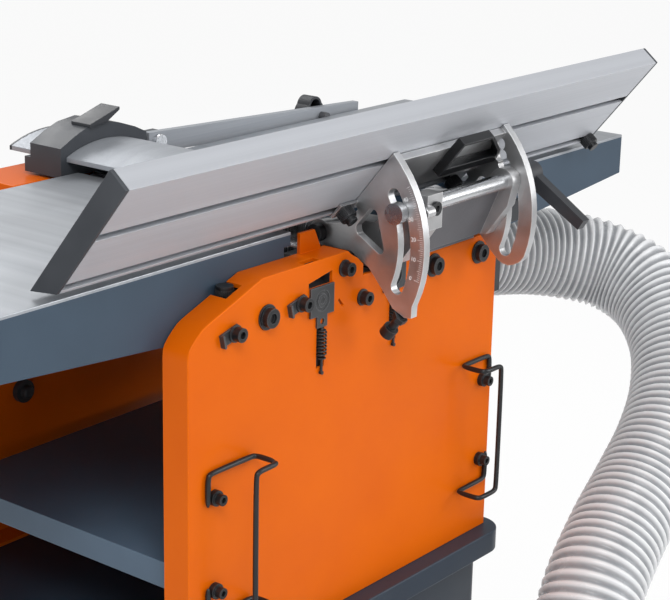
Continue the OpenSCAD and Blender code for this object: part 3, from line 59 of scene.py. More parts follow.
# Camera of the photograph
CAMERA_PLACE = (-1.1386, -1.0403, 1.2245)
CAMERA_TURN = math.radians(-51.393)
CAMERA_LIFT = math.radians(16.693)
CAMERA_ROLL = math.radians(1.081)
CAMERA_SENSOR = 36
CAMERA_LENS = 97.26
CAMERA_SHIFT = (0.01381, -0.01557)
CAMERA_RANGE = (0.05, 100)


def place_camera():
    """A camera that stands and looks as the one of the photograph did."""
    level = math.cos(CAMERA_LIFT)
    back = Vector((math.sin(CAMERA_TURN) * level, -math.cos(CAMERA_TURN) * level, math.sin(CAMERA_LIFT)))
    right = Vector((math.cos(CAMERA_TURN), math.sin(CAMERA_TURN), 0))
    up = back.cross(right)
    across = right * math.cos(CAMERA_ROLL) + up * math.sin(CAMERA_ROLL)
    above = up * math.cos(CAMERA_ROLL) - right * math.sin(CAMERA_ROLL)
    bpy.ops.object.select_all(action="DESELECT")
    bpy.ops.object.camera_add()
    camera = bpy.context.object
    camera.name = "view"
    camera.data.sensor_width = CAMERA_SENSOR
    camera.data.lens = CAMERA_LENS
    camera.data.shift_x, camera.data.shift_y = CAMERA_SHIFT
    camera.data.clip_start, camera.data.clip_end = CAMERA_RANGE
    turned = Matrix((across, above, back)).transposed().to_4x4()
    camera.matrix_world = Matrix.Translation(CAMERA_PLACE) @ turned
    bpy.context.scene.camera = camera


place_camera()

# Tools for making pieces
MERGE_DISTANCE = 0.004 * MM
FLAT_ANGLE = math.radians(0.6)


def clear_selection():
    """Object mode, with nothing selected."""
    if bpy.context.object and bpy.context.object.mode != "OBJECT":
        bpy.ops.object.mode_set(mode="OBJECT")
    bpy.ops.object.select_all(action="DESELECT")


def take(piece):
    """Makes a piece the only one selected."""
    clear_selection()
    piece.select_set(True)
    bpy.context.view_layer.objects.active = piece


def enter_edit(piece):
    take(piece)
    bpy.ops.object.mode_set(mode="EDIT")


def leave_edit():
    bpy.ops.object.mode_set(mode="OBJECT")


def pick(piece, kind, test):
    """In edit mode afterwards, with the faces or edges that pass the test selected."""
    enter_edit(piece)
    bpy.ops.mesh.select_mode(type=kind)
    bpy.ops.mesh.select_all(action="DESELECT")
    leave_edit()
    for item in piece.data.polygons if kind == "FACE" else piece.data.edges:
        item.select = bool(test(item))
    bpy.ops.object.mode_set(mode="EDIT")


def apply_modifiers(piece):
    take(piece)
    for modifier in list(piece.modifiers):
        bpy.ops.object.modifier_apply(modifier=modifier.name)


def settle(piece):
    """Puts a piece's place and turn into its mesh."""
    take(piece)
    bpy.ops.object.transform_apply(location=True, rotation=True, scale=True)


def piece_of(mesh, name):
    """An object in the scene for a mesh."""
    piece = bpy.data.objects.new(name, mesh)
    bpy.context.scene.collection.objects.link(piece)
    return piece


def twin(piece, name):
    """A second piece of the same shape, with a mesh of its own."""
    other = piece.copy()
    other.data = piece.data.copy()
    other.name = name
    bpy.context.scene.collection.objects.link(other)
    return other


def dress(piece, finish, body, *nodes, smooth=40):
    """Gives a piece its finish and its body, and hides the solids that it stands for."""
    if smooth:
        take(piece)
        bpy.ops.object.shade_smooth_by_angle(angle=math.radians(smooth))
        flat = piece.modifiers.new("flat_faces_stay_flat", "WEIGHTED_NORMAL")
        flat.keep_sharp = True
        apply_modifiers(piece)
    if finish:
        piece.data.materials.clear()
        piece.data.materials.append(finish)
    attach(piece, body)
    if nodes:
        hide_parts(*nodes)
    return piece


def copy_of(node, *finishes):
    """A merged copy of a solid's mesh, with whole flat faces again, in its finishes."""
    piece = piece_of(frame["nodes"][node].data.copy(), node + "_piece")
    enter_edit(piece)
    bpy.ops.mesh.select_all(action="SELECT")
    bpy.ops.mesh.remove_doubles(threshold=MERGE_DISTANCE)
    bpy.ops.mesh.customdata_custom_splitnormals_clear()
    bpy.ops.mesh.dissolve_limited(angle_limit=FLAT_ANGLE)
    bpy.ops.mesh.select_all(action="DESELECT")
    leave_edit()
    piece.data.materials.clear()
    for finish in finishes:
        piece.data.materials.append(finish)
    return piece


def ease(piece, width, segments=2, angle=35):
    """Rounds the edges of a piece by a width in millimetres, as on a casting or folded sheet."""
    bevel = piece.modifiers.new("rounded", "BEVEL")
    bevel.width = width * MM
    bevel.segments = segments
    bevel.limit_method = "ANGLE"
    bevel.angle_limit = math.radians(angle)
    bevel.use_clamp_overlap = True
    apply_modifiers(piece)


def eased(node, width, finish, segments=2):
    """A solid with its edges rounded, in its finish. It stands for the solid."""
    piece = copy_of(node, finish)
    ease(piece, width, segments)
    return dress(piece, None, BODY_OF[node], node)


# Extraction hose, with its route in millimetres
HOSE_ROUTE = [
    (246, 0, 716), (300, 0, 716), (360, 0, 716), (430, -12, 711), (495, -40, 702), (540, -90, 687),
    (543, -145, 665), (510, -195, 632), (460, -228, 595), (404, -246, 561), (345, -255, 530),
    (285, -264, 502), (225, -276, 466), (178, -290, 410), (150, -305, 335), (135, -320, 245),
    (115, -335, 155), (70, -345, 85), (-10, -350, 55), (-100, -350, 52), (-200, -350, 52),
]
HOSE_RADIUS = 48 * MM
HOSE_VALLEY = 44.6 * MM
HOSE_BORE = 43.5 * MM
HOSE_SIDES = 40
RIB_PITCH = 10 * MM
RIB_STEPS = 7
RIB_SHARPNESS = 1.4
CURVE_STEPS = 40
FIRST_ACROSS = Vector((0.15, -0.6, 0.8))
VALLEY_MARK = (0.5, 0)


def hose_line():
    """Points close together along the route, on a smooth curve."""
    route = [at(*point) for point in HOSE_ROUTE]
    line = []
    for i in range(len(route) - 1):
        a, b, c, d = route[max(i - 1, 0)], route[i], route[i + 1], route[min(i + 2, len(route) - 1)]
        for k in range(CURVE_STEPS):
            t = k / CURVE_STEPS
            line.append(0.5 * (2 * b + (c - a) * t + (2 * a - 5 * b + 4 * c - d) * t ** 2
                               + (3 * b - a - 3 * c + d) * t ** 3))
    line.append(route[-1])
    return line


def spaced(line, step):
    """Points at an even spacing along a line, and its length."""
    far = [0.0]
    for a, b in zip(line, line[1:]):
        far.append(far[-1] + (b - a).length)
    count = max(2, round(far[-1] / step))
    points, k = [], 0
    for i in range(count + 1):
        s = far[-1] * i / count
        while k < len(line) - 2 and far[k + 1] < s:
            k += 1
        t = (s - far[k]) / (far[k + 1] - far[k])
        points.append(line[k].lerp(line[k + 1], t))
    return points, far[-1]


def tube_frames(points):
    """Two directions across the line at each point, turning as little as they can."""
    last = len(points) - 1
    heads = [(points[min(i + 1, last)] - points[max(i - 1, 0)]).normalized() for i in range(last + 1)]
    side = heads[0].cross(FIRST_ACROSS).normalized()
    frames = []
    for head in heads:
        side = (side - head * side.dot(head)).normalized()
        frames.append((side, head.cross(side)))
    return frames


def tube_wall(first, row, k, inward=False):
    """One face between two rings of a tube's points."""
    n = (k + 1) % HOSE_SIDES
    low, high = first + row * HOSE_SIDES, first + (row + 1) * HOSE_SIDES
    face = [low + k, low + n, high + n, high + k]
    return face[::-1] if inward else face


def make_hose():
    """A ribbed tube along the route, its path and its length. Its map counts the ribs."""
    points, length = spaced(hose_line(), RIB_PITCH / RIB_STEPS)
    last = len(points) - 1
    ribs_a_row = length / last / RIB_PITCH
    frames = tube_frames(points)
    corners, faces, marks = [], [], []
    for i, (p, (side, over)) in enumerate(zip(points, frames)):
        for k in range(HOSE_SIDES):
            turn = k / HOSE_SIDES
            wave = 0.5 + 0.5 * math.cos(math.tau * (i * ribs_a_row - turn))
            radius = HOSE_VALLEY + (HOSE_RADIUS - HOSE_VALLEY) * wave ** RIB_SHARPNESS
            a = math.tau * turn
            corners.append(p + radius * (math.cos(a) * side + math.sin(a) * over))
    inner = len(corners)
    inner_rows = list(range(0, len(points), RIB_STEPS))
    if inner_rows[-1] != last:
        inner_rows.append(last)
    for i in inner_rows:
        p, (side, over) = points[i], frames[i]
        for k in range(HOSE_SIDES):
            a = math.tau * k / HOSE_SIDES
            corners.append(p + HOSE_BORE * (math.cos(a) * side + math.sin(a) * over))

    for i in range(last):
        for k in range(HOSE_SIDES):
            faces.append(tube_wall(0, i, k))
            u0, u1 = i * ribs_a_row, (i + 1) * ribs_a_row
            t0, t1 = k / HOSE_SIDES, (k + 1) / HOSE_SIDES
            marks += [(u0 - t0, t0), (u0 - t1, t1), (u1 - t1, t1), (u1 - t0, t0)]
    for i in range(len(inner_rows) - 1):
        for k in range(HOSE_SIDES):
            faces.append(tube_wall(inner, i, k, inward=True))
            marks += [VALLEY_MARK] * 4
    end_out, end_in = last * HOSE_SIDES, inner + (len(inner_rows) - 1) * HOSE_SIDES
    for k in range(HOSE_SIDES):
        n = (k + 1) % HOSE_SIDES
        faces.append([inner + k, inner + n, n, k])
        faces.append([end_out + k, end_out + n, end_in + n, end_in + k])
        marks += [VALLEY_MARK] * 8
    mesh = bpy.data.meshes.new("extraction_hose")
    mesh.from_pydata(corners, [], faces)
    ribs = mesh.uv_layers.new(name="ribs")
    for loop, uv in zip(ribs.data, marks):
        loop.uv = uv
    mesh.validate()
    return piece_of(mesh, "extraction_hose"), points[::RIB_STEPS] + [points[-1]], length


hose, hose_path, hose_length = make_hose()

# Shared effects of the finishes
FLOAT, VECTOR = "NodeSocketFloat", "NodeSocketVector"
EDGE_GAIN = 9.0


def joined(tree, source, target):
    tree.links.new(source, target)


def put(tree, value, socket):
    """Feeds a socket from another one, or gives it a plain value."""
    if isinstance(value, bpy.types.NodeSocket):
        joined(tree, value, socket)
    else:
        socket.default_value = value


def math_node(tree, operation, *values, clamp=False):
    node = tree.nodes.new("ShaderNodeMath")
    node.operation = operation
    node.use_clamp = clamp
    for socket, value in zip(node.inputs, values):
        put(tree, value, socket)
    return node.outputs[0]


def noise(tree, vector, scale, detail):
    node = tree.nodes.new("ShaderNodeTexNoise")
    node.inputs["Detail"].default_value = detail
    joined(tree, vector, node.inputs["Vector"])
    put(tree, scale, node.inputs["Scale"])
    return node.outputs[0]


def new_group(name, inputs, outputs):
    group = bpy.data.node_groups.new(name, "ShaderNodeTree")
    for label, kind, value in inputs:
        socket = group.interface.new_socket(label, in_out="INPUT", socket_type=kind)
        if value is not None:
            socket.default_value = value
    for label, kind in outputs:
        group.interface.new_socket(label, in_out="OUTPUT", socket_type=kind)
    nodes = group.nodes
    return group, nodes.new("NodeGroupInput"), nodes.new("NodeGroupOutput")


def make_grain():
    """Fine grain for bump and slow drift for tint and gloss."""
    group, start, end = new_group(
        "grain",
        [("Vector", VECTOR, None), ("Fine", FLOAT, 900.0), ("Broad", FLOAT, 14.0)],
        [("Height", FLOAT), ("Drift", FLOAT)],
    )
    place = start.outputs["Vector"]
    joined(group, noise(group, place, start.outputs["Fine"], 3), end.inputs["Height"])
    joined(group, noise(group, place, start.outputs["Broad"], 4), end.inputs["Drift"])
    return group


def make_brushing():
    """Long fine lines along one direction, for drawn or ground metal."""
    group, start, end = new_group(
        "brushing",
        [("Vector", VECTOR, None), ("Stretch", VECTOR, (4.0, 900.0, 900.0))],
        [("Lines", FLOAT), ("Sheen", FLOAT)],
    )
    scaled = group.nodes.new("ShaderNodeVectorMath")
    scaled.operation = "MULTIPLY"
    joined(group, start.outputs["Vector"], scaled.inputs[0])
    joined(group, start.outputs["Stretch"], scaled.inputs[1])
    joined(group, noise(group, scaled.outputs[0], 1, 2), end.inputs["Lines"])
    joined(group, noise(group, scaled.outputs[0], 0.06, 3), end.inputs["Sheen"])
    return group


def make_edge_wear():
    """A mask that is strong along outer edges and broken up by noise, for edges lightened partly as wear and
    partly as a painted highlight.
    """
    group, start, end = new_group(
        "edge_wear_and_highlight",
        [("Vector", VECTOR, None), ("Radius", FLOAT, 0.0015), ("Break", FLOAT, 160.0)],
        [("Mask", FLOAT)],
    )
    soft = group.nodes.new("ShaderNodeBevel")
    soft.samples = 4
    joined(group, start.outputs["Radius"], soft.inputs["Radius"])
    geometry = group.nodes.new("ShaderNodeNewGeometry")
    facing = group.nodes.new("ShaderNodeVectorMath")
    facing.operation = "DOT_PRODUCT"
    joined(group, soft.outputs["Normal"], facing.inputs[0])
    joined(group, geometry.outputs["Normal"], facing.inputs[1])
    bend = math_node(group, "SUBTRACT", 1.0, facing.outputs["Value"])
    broken = noise(group, start.outputs["Vector"], start.outputs["Break"], 4)
    strong = math_node(group, "MULTIPLY", bend, EDGE_GAIN, clamp=True)
    mask = math_node(group, "MULTIPLY", strong, broken, clamp=True)
    joined(group, mask, end.inputs["Mask"])
    return group


GRAIN = make_grain()
BRUSHING = make_brushing()
EDGE_WEAR_AND_HIGHLIGHT = make_edge_wear()

# Finishes, with depths in millimetres
NOISE_LOW, NOISE_HIGH = 0.3, 0.7
PAINT_GRAIN = {"Fine": 420.0, "Broad": 9.0}
PAINT_EDGE = {"Radius": 1.2 * MM, "Break": 220.0}
CAST_BROAD = 22.0
CAST_EDGE = {"Radius": 1.6 * MM, "Break": 90.0}
PLASTIC_GRAIN = {"Fine": 700.0, "Broad": 25.0}
HOSE_GRAIN = {"Fine": 300.0, "Broad": 30.0}
LINES_ALONG_X = (3.0, 1100.0, 1100.0)
LINES_ALONG_Y = (900.0, 7.0, 900.0)
LINES_ROUND_BAR = (600.0, 20.0, 20.0)
CHROME_CLOUDS = (40.0, 60.0, 60.0)
DULL_SHINE = 0.35
COAT_ROUGHNESS = 0.1
TABLE_TOP = 850 * MM
BARE_RIM = 2.4 * MM
RIM_FADE = 0.2 * MM


def seen(r, g, b):
    """A colour as it looks on a screen, from 0 to 255, as the shader takes it."""
    def linear(c):
        return c / 255 / 12.92 if c <= 10 else ((c / 255 + 0.055) / 1.055) ** 2.4

    return linear(r), linear(g), linear(b), 1.0


class Finish:
    """One material while its nodes are being put together."""

    def __init__(self, name, colour, roughness, metallic=0.0):
        self.material = bpy.data.materials.new(name)
        self.material.use_nodes = True
        self.tree = self.material.node_tree
        self.shader = self.tree.nodes["Principled BSDF"]
        self.roughness = roughness
        self.set("Base Color", colour)
        self.set("Roughness", roughness)
        self.set("Metallic", metallic)
        self.place = self.tree.nodes.new("ShaderNodeTexCoord").outputs["Object"]

    def set(self, socket, value):
        put(self.tree, value, self.shader.inputs[socket])

    def use(self, group, **values):
        """The outputs of a shared effect, with its own values."""
        node = self.tree.nodes.new("ShaderNodeGroup")
        node.node_tree = group
        joined(self.tree, self.place, node.inputs["Vector"])
        for label, value in values.items():
            node.inputs[label].default_value = value
        return node.outputs

    def tint(self, mask, low, high):
        """Colour between two by a mask."""
        ramp = self.tree.nodes.new("ShaderNodeValToRGB")
        first, second = ramp.color_ramp.elements
        first.position, first.color = NOISE_LOW, low
        second.position, second.color = NOISE_HIGH, high
        joined(self.tree, mask, ramp.inputs[0])
        return ramp.outputs[0]

    def over(self, mask, under, top):
        """One colour over another by a mask."""
        mix = self.tree.nodes.new("ShaderNodeMix")
        mix.data_type = "RGBA"
        joined(self.tree, mask, mix.inputs[0])
        put(self.tree, under, mix.inputs[6])
        put(self.tree, top, mix.inputs[7])
        return mix.outputs[2]

    def between(self, mask, low, high):
        """A value between two by a mask."""
        span = self.tree.nodes.new("ShaderNodeMapRange")
        span.inputs["From Min"].default_value = NOISE_LOW
        span.inputs["From Max"].default_value = NOISE_HIGH
        span.inputs["To Min"].default_value = low
        span.inputs["To Max"].default_value = high
        joined(self.tree, mask, span.inputs["Value"])
        return span.outputs[0]

    def gloss(self, mask, low, high):
        """Roughness that drifts between two shares of its middle value."""
        self.set("Roughness", self.between(mask, self.roughness * low, self.roughness * high))

    def bump(self, height, depth):
        bump = self.tree.nodes.new("ShaderNodeBump")
        bump.inputs["Strength"].default_value = 1.0
        bump.inputs["Distance"].default_value = depth * MM
        joined(self.tree, height, bump.inputs["Height"])
        self.set("Normal", bump.outputs[0])


def painted(name, colour, dark, roughness, wear_and_highlight, peel=0.02, coat=0.0, shine=0.32):
    """Powder paint: slow drift of tone and gloss, orange peel, and lighter outer edges, partly worn paint and
    partly a painted highlight.
    """
    f = Finish(name, colour, roughness)
    grain = f.use(GRAIN, **PAINT_GRAIN)
    tone = f.tint(grain["Drift"], dark, colour)
    # Lighter outer edges: partly wear, partly painted highlight.
    f.set("Base Color", f.over(f.use(EDGE_WEAR_AND_HIGHLIGHT, **PAINT_EDGE)["Mask"], tone, wear_and_highlight))
    f.gloss(grain["Drift"], 0.85, 1.2)
    f.bump(grain["Height"], peel)
    f.set("Specular IOR Level", shine)
    f.set("Coat Weight", coat)
    f.set("Coat Roughness", COAT_ROUGHNESS)
    return f.material


def brushed(name, colour, dark, roughness, stretch, depth=0.006, metallic=1.0):
    """Drawn or ground metal with lines along one direction."""
    f = Finish(name, colour, roughness, metallic)
    lines = f.use(BRUSHING, Stretch=stretch)
    f.set("Base Color", f.tint(lines["Sheen"], dark, colour))
    f.gloss(lines["Lines"], 0.85, 1.25)
    f.bump(lines["Lines"], depth)
    return f.material


def cast(name, colour, dark, roughness, depth, metallic, bright=None, fine=260.0):
    """As-cast metal: coarse skin, patches of tone, and bright edges, partly rubbed metal and partly a painted
    highlight.
    """
    f = Finish(name, colour, roughness, metallic)
    grain = f.use(GRAIN, Fine=fine, Broad=CAST_BROAD)
    tone = f.tint(grain["Drift"], dark, colour)
    # Bright edges: partly rubbed metal, partly painted highlight.
    if bright:
        tone = f.over(f.use(EDGE_WEAR_AND_HIGHLIGHT, **CAST_EDGE)["Mask"], tone, bright)
    f.set("Base Color", tone)
    f.gloss(grain["Drift"], 0.8, 1.25)
    f.bump(grain["Height"], depth)
    return f.material


def moulded(name, colour, dark, roughness, depth=0.03):
    """Moulded plastic with a fine spark-eroded skin."""
    f = Finish(name, colour, roughness)
    grain = f.use(GRAIN, **PLASTIC_GRAIN)
    f.set("Base Color", f.tint(grain["Drift"], dark, colour))
    f.gloss(grain["Drift"], 0.85, 1.15)
    f.bump(grain["Height"], depth)
    f.set("Specular IOR Level", DULL_SHINE)
    return f.material


def clear_ribs():
    """Clear hose: milky ribs and thinner film between them."""
    f = Finish("clear_hose", seen(215, 217, 220), 0.24)
    ribs = f.tree.nodes.new("ShaderNodeUVMap")
    ribs.uv_map = "ribs"
    split = f.tree.nodes.new("ShaderNodeSeparateXYZ")
    joined(f.tree, ribs.outputs[0], split.inputs[0])
    wave = math_node(f.tree, "COSINE", math_node(f.tree, "MULTIPLY", split.outputs[0], math.tau))
    crest = math_node(f.tree, "MULTIPLY_ADD", wave, 0.5, 0.5)
    grain = f.use(GRAIN, **HOSE_GRAIN)
    film = f.tint(grain["Drift"], seen(150, 154, 159), seen(176, 179, 183))
    f.set("Base Color", f.over(crest, film, seen(238, 239, 241)))
    f.set("Alpha", f.between(crest, 0.6, 0.86))
    f.set("Roughness", f.between(grain["Drift"], 0.18, 0.32))
    f.bump(grain["Height"], 0.05)
    f.set("IOR", 1.5)
    return f.material


def table_finish():
    """Painted casting whose top and upper rim are ground bare."""
    f = Finish("painted_table", seen(60, 78, 95), 0.46)
    grain = f.use(GRAIN, **PAINT_GRAIN)
    lines = f.use(BRUSHING, Stretch=LINES_ALONG_Y)
    split = f.tree.nodes.new("ShaderNodeSeparateXYZ")
    joined(f.tree, f.place, split.inputs[0])
    rim = f.tree.nodes.new("ShaderNodeMapRange")
    rim.inputs["From Min"].default_value = TABLE_TOP - BARE_RIM - RIM_FADE
    rim.inputs["From Max"].default_value = TABLE_TOP - BARE_RIM
    joined(f.tree, split.outputs["Z"], rim.inputs["Value"])
    bare = rim.outputs[0]
    paint = f.tint(grain["Drift"], seen(49, 66, 82), seen(60, 78, 95))
    metal = f.tint(lines["Sheen"], seen(156, 160, 166), seen(176, 180, 185))
    f.set("Base Color", f.over(bare, paint, metal))
    f.set("Metallic", math_node(f.tree, "MULTIPLY", bare, 0.75))
    gloss = f.between(grain["Drift"], 0.4, 0.52)
    smoother = math_node(f.tree, "MULTIPLY", bare, 0.1)
    f.set("Roughness", math_node(f.tree, "SUBTRACT", gloss, smoother))
    f.bump(grain["Height"], 0.03)
    f.set("Specular IOR Level", DULL_SHINE)
    return f.material


# The colour after the roughness lightens each paint's outer edges: partly wear, partly painted highlight.
ORANGE = painted("orange_paint", seen(219, 100, 2), seen(211, 92, 2), 0.34, seen(236, 120, 32),
                 coat=0.03, shine=0.08)
DARK_BLUE = painted("dark_blue_paint", seen(43, 54, 67), seen(36, 46, 58), 0.42, seen(82, 94, 106), peel=0.04)
BED_BLUE = painted("bed_paint", seen(80, 98, 116), seen(68, 85, 102), 0.4, seen(112, 128, 144), peel=0.04)
TABLE = table_finish()
ANODISED = brushed("drawn_aluminium", seen(192, 195, 201), seen(182, 185, 191), 0.46, LINES_ALONG_X,
                   depth=0.004, metallic=0.45)
GUARD_ALLOY = brushed("guard_aluminium", seen(158, 162, 168), seen(148, 152, 158), 0.5, LINES_ALONG_X,
                      depth=0.004, metallic=0.4)
# The bright colour of a casting lightens its edges: partly rubbed metal, partly painted highlight.
CAST_ALLOY = cast("cast_alloy", seen(204, 205, 207), seen(170, 170, 171), 0.36, depth=0.14, metallic=0.85,
                  bright=seen(240, 240, 240))
# Darker grey of the carrier's wall, with painted shade in it.
SHADED_GREY_CASTING = cast("shaded_grey_casting", seen(112, 112, 116), seen(90, 90, 94), 0.46, depth=0.12, metallic=0.7,
                    bright=seen(170, 171, 174))
IRON = cast("dark_casting", seen(96, 97, 100), seen(78, 79, 82), 0.5, depth=0.1, metallic=0.6)
BRIGHT = brushed("turned_steel", seen(214, 215, 217), seen(192, 193, 195), 0.24, LINES_ROUND_BAR)
CHROME = brushed("chromed_bar", seen(206, 208, 211), seen(188, 190, 193), 0.24, CHROME_CLOUDS, depth=0.001)
BLACKED = cast("blacked_steel", seen(38, 39, 41), seen(28, 29, 31), 0.38, depth=0.05, metallic=0.4,
               bright=seen(92, 93, 96), fine=500.0)
GREY_STEEL = cast("phosphated_steel", seen(72, 73, 75), seen(58, 59, 61), 0.44, depth=0.06, metallic=0.5,
                  bright=seen(128, 129, 131), fine=600.0)
BLACK_PLASTIC = moulded("black_plastic", seen(54, 56, 60), seen(46, 48, 52), 0.44)
CAP_PLASTIC = moulded("cap_plastic", seen(66, 69, 74), seen(57, 60, 65), 0.5, depth=0.05)
RUBBER = moulded("belt_rubber", seen(34, 34, 36), seen(27, 27, 29), 0.7, depth=0.08)
GREEN_PLASTIC = moulded("green_button", seen(38, 140, 72), seen(30, 122, 62), 0.35)
RED_PLASTIC = moulded("red_button", seen(196, 38, 32), seen(176, 30, 26), 0.35)
GREY_PLASTIC = moulded("grey_plastic", seen(128, 132, 138), seen(116, 120, 126), 0.45)
MARKING = moulded("scale_paint", seen(238, 238, 238), seen(224, 224, 224), 0.55, depth=0.01)
HOSE_FILM = clear_ribs()

# Hose in place
dress(hose, HOSE_FILM, "machine", "hose", smooth=0)
for face in hose.data.polygons:
    face.use_smooth = True
cuff = eased("hose_cuff", 1.2, BLACK_PLASTIC)

# Body, tables and sheet metal
eased("floor_rails", 1.0, DARK_BLUE)
eased("cabinet", 2.0, DARK_BLUE)
eased("tray", 2.0, DARK_BLUE, segments=3)
PANEL_FACE = 165.5 * MM
PANEL_LIP = 139.5 * MM
FOLD_SLACK = 0.1 * MM
FOLD_RADIUS = 4 * MM


def folded_panel(node, side):
    """Side panel whose fold has the radius of bent sheet."""
    piece = copy_of(node)
    mesh = piece.data

    def out(point):
        return side * mesh.vertices[point].co.y

    fold = set()
    for face in mesh.polygons:
        outs = [out(point) for point in face.vertices]
        spans_lip = max(outs) > PANEL_FACE - FOLD_SLACK and min(outs) < PANEL_LIP + FOLD_SLACK
        if abs(face.normal.y) < 0.3 and spans_lip:
            fold.update(key for key in face.edge_keys if min(map(out, key)) > PANEL_FACE - FOLD_SLACK)
    pick(piece, "EDGE", lambda edge: edge.key in fold)
    bpy.ops.mesh.bevel(offset=FOLD_RADIUS, segments=5, affect="EDGES", clamp_overlap=True)
    leave_edit()
    ease(piece, 0.5, angle=50)
    dress(piece, ORANGE, BODY_OF[node], node, smooth=35)


folded_panel("near_panel", -1)
folded_panel("far_panel", 1)
eased("drive_cover", 2.0, ORANGE, segments=3)
eased("infeed_table", 0.8, TABLE)
eased("outfeed_table", 0.8, TABLE)
eased("bearing_blocks", 0.8, IRON)
eased("table_mounts", 0.8, IRON)
eased("tie_bars", 0.5, GREY_STEEL)
eased("chip_hood", 1.2, DARK_BLUE)
eased("hood_port", 0.6, BLACK_PLASTIC)
eased("bed", 1.0, BED_BLUE)
eased("bed_column", 0.8, BRIGHT)
eased("bed_sleeve", 1.0, DARK_BLUE)

# Drive, cutter and rollers
eased("motor", 1.2, DARK_BLUE)
eased("motor_pulley", 0.5, IRON)
eased("drive_belt", 0.4, RUBBER)
eased("cutter_block", 0.4, BRIGHT)
eased("cutter_knives", 0.1, CHROME)
eased("cutter_pulley", 0.5, IRON)
eased("infeed_roller", 0.4, GREY_STEEL)
eased("outfeed_roller", 0.4, GREY_STEEL)
eased("roller_plates", 0.5, GREY_STEEL)

# Springs of the rollers, and dark sheets behind their slots that paint the shade inside the panel
ROLLER_X = 49
SPRING_RADIUS = 3.7 * MM
SPRING_WIRE_RADIUS = 0.8 * MM
SPRING_PITCH = 3 * MM
SPRING_TURNS = 7
SPRING_Y, SPRING_FOOT_Z = -167, 749
SHADE_SHEET_SIZE = (24, 2, 46)
SHADE_SHEET_RIM = 3 * MM
SHADE_SHEET_DISH = 0.8 * MM
SHADE_SHEET_Y, SHADE_SHEET_Z = -161.4, 756


def make_springs():
    """Springs of round wire, one wound and one copied."""
    clear_selection()
    bpy.ops.mesh.primitive_circle_add(vertices=10, radius=SPRING_WIRE_RADIUS, location=(SPRING_RADIUS, 0, 0),
                                      rotation=(math.pi / 2, 0, 0))
    coil = bpy.context.object
    coil.name = "infeed_spring"
    settle(coil)
    wound = coil.modifiers.new("wound", "SCREW")
    wound.axis = "Z"
    wound.angle = math.tau
    wound.screw_offset = SPRING_PITCH
    wound.iterations = SPRING_TURNS
    wound.steps = wound.render_steps = 24
    apply_modifiers(coil)
    enter_edit(coil)
    bpy.ops.mesh.select_all(action="SELECT")
    bpy.ops.mesh.fill_holes(sides=12)
    bpy.ops.mesh.normals_make_consistent(inside=False)
    leave_edit()
    for piece, x in ((coil, -ROLLER_X), (twin(coil, "outfeed_spring"), ROLLER_X)):
        piece.location = at(x, SPRING_Y, SPRING_FOOT_Z)
        settle(piece)
        dress(piece, BLACKED, "machine", "roller_springs", smooth=60)


make_springs()
eased("spring_hooks", 0.3, BLACKED)


def make_shields():
    """Dished black sheets inside the near panel, behind the slots of the springs: painted shade seen through
    the slots.
    """
    clear_selection()
    bpy.ops.mesh.primitive_cube_add(size=1)
    shade_sheet = bpy.context.object
    shade_sheet.name = "infeed_shade_sheet"
    shade_sheet.scale = at(*SHADE_SHEET_SIZE)
    settle(shade_sheet)
    pick(shade_sheet, "FACE", lambda face: face.normal.y < -0.5)
    bpy.ops.mesh.inset(thickness=SHADE_SHEET_RIM)
    bpy.ops.transform.translate(value=(0, SHADE_SHEET_DISH, 0))
    leave_edit()
    ease(shade_sheet, 0.3)
    # Blacked sheets behind the slots: painted shade.
    for piece, x in ((shade_sheet, -ROLLER_X), (twin(shade_sheet, "outfeed_shade_sheet"), ROLLER_X)):
        piece.location = at(x, SHADE_SHEET_Y, SHADE_SHEET_Z)
        settle(piece)
        dress(piece, BLACKED, "machine")


make_shields()

# Knob on a stud inside the far panel, with the inset and rise of its steps in millimetres
STAY_KNOB_PLACE = at(-81, 159.4, 649)
STAY_KNOB_RADIUS = 11 * MM
STAY_KNOB_BASE = 6 * MM
STAY_KNOB_STEPS = ((4.5, 0), (0.6, 5), (1.6, 1.2))


def make_stay_knob():
    """Turned knob of three steps."""
    clear_selection()
    bpy.ops.mesh.primitive_cylinder_add(vertices=40, radius=STAY_KNOB_RADIUS, depth=STAY_KNOB_BASE)
    knob = bpy.context.object
    knob.name = "stay_knob"
    for inset, rise in STAY_KNOB_STEPS:
        top = max(face.center.z for face in knob.data.polygons)
        pick(knob, "FACE", lambda face: face.normal.z > 0.9 and face.center.z == top)
        bpy.ops.mesh.inset(thickness=inset * MM)
        bpy.ops.transform.translate(value=(0, 0, rise * MM))
        leave_edit()
    ease(knob, 0.6)
    knob.rotation_euler = (math.pi / 2, 0, 0)
    knob.location = STAY_KNOB_PLACE
    settle(knob)
    dress(knob, BLACK_PLASTIC, "machine")


make_stay_knob()

# Controls
eased("handwheel", 1.0, BLACK_PLASTIC)
eased("handwheel_grip", 2.0, BLACK_PLASTIC, segments=4)
eased("depth_lever", 0.8, BRIGHT)
eased("depth_knob", 3.0, BLACK_PLASTIC, segments=4)
eased("switch_box", 3.0, GREY_PLASTIC, segments=4)
eased("start_button", 1.0, GREEN_PLASTIC)
eased("stop_button", 1.5, RED_PLASTIC, segments=3)

# Knurled screws of the leaning fence, in millimetres from its pivot
PIVOT = at(0, -117.4, 834)
TILT = math.radians(39.25)
LEANING = Matrix.Translation(PIVOT) @ Matrix.Rotation(TILT, 4, "X")
KNURL_RADIUS = 7 * MM
KNURL_FIT = 0.05 * MM
KNURL_HEIGHT = 0.45 * MM
KNURL_SIDES = 48
SLOT_KNURL_LENGTH = 7.6 * MM
SLOT_SCREWS_X = (("left", -5), ("right", 147))
SLOT_SCREW_Y, FENCE_STOP_X, FENCE_STOP_Y, SLOT_Z = -10.9, 380, -8.1, 42.5


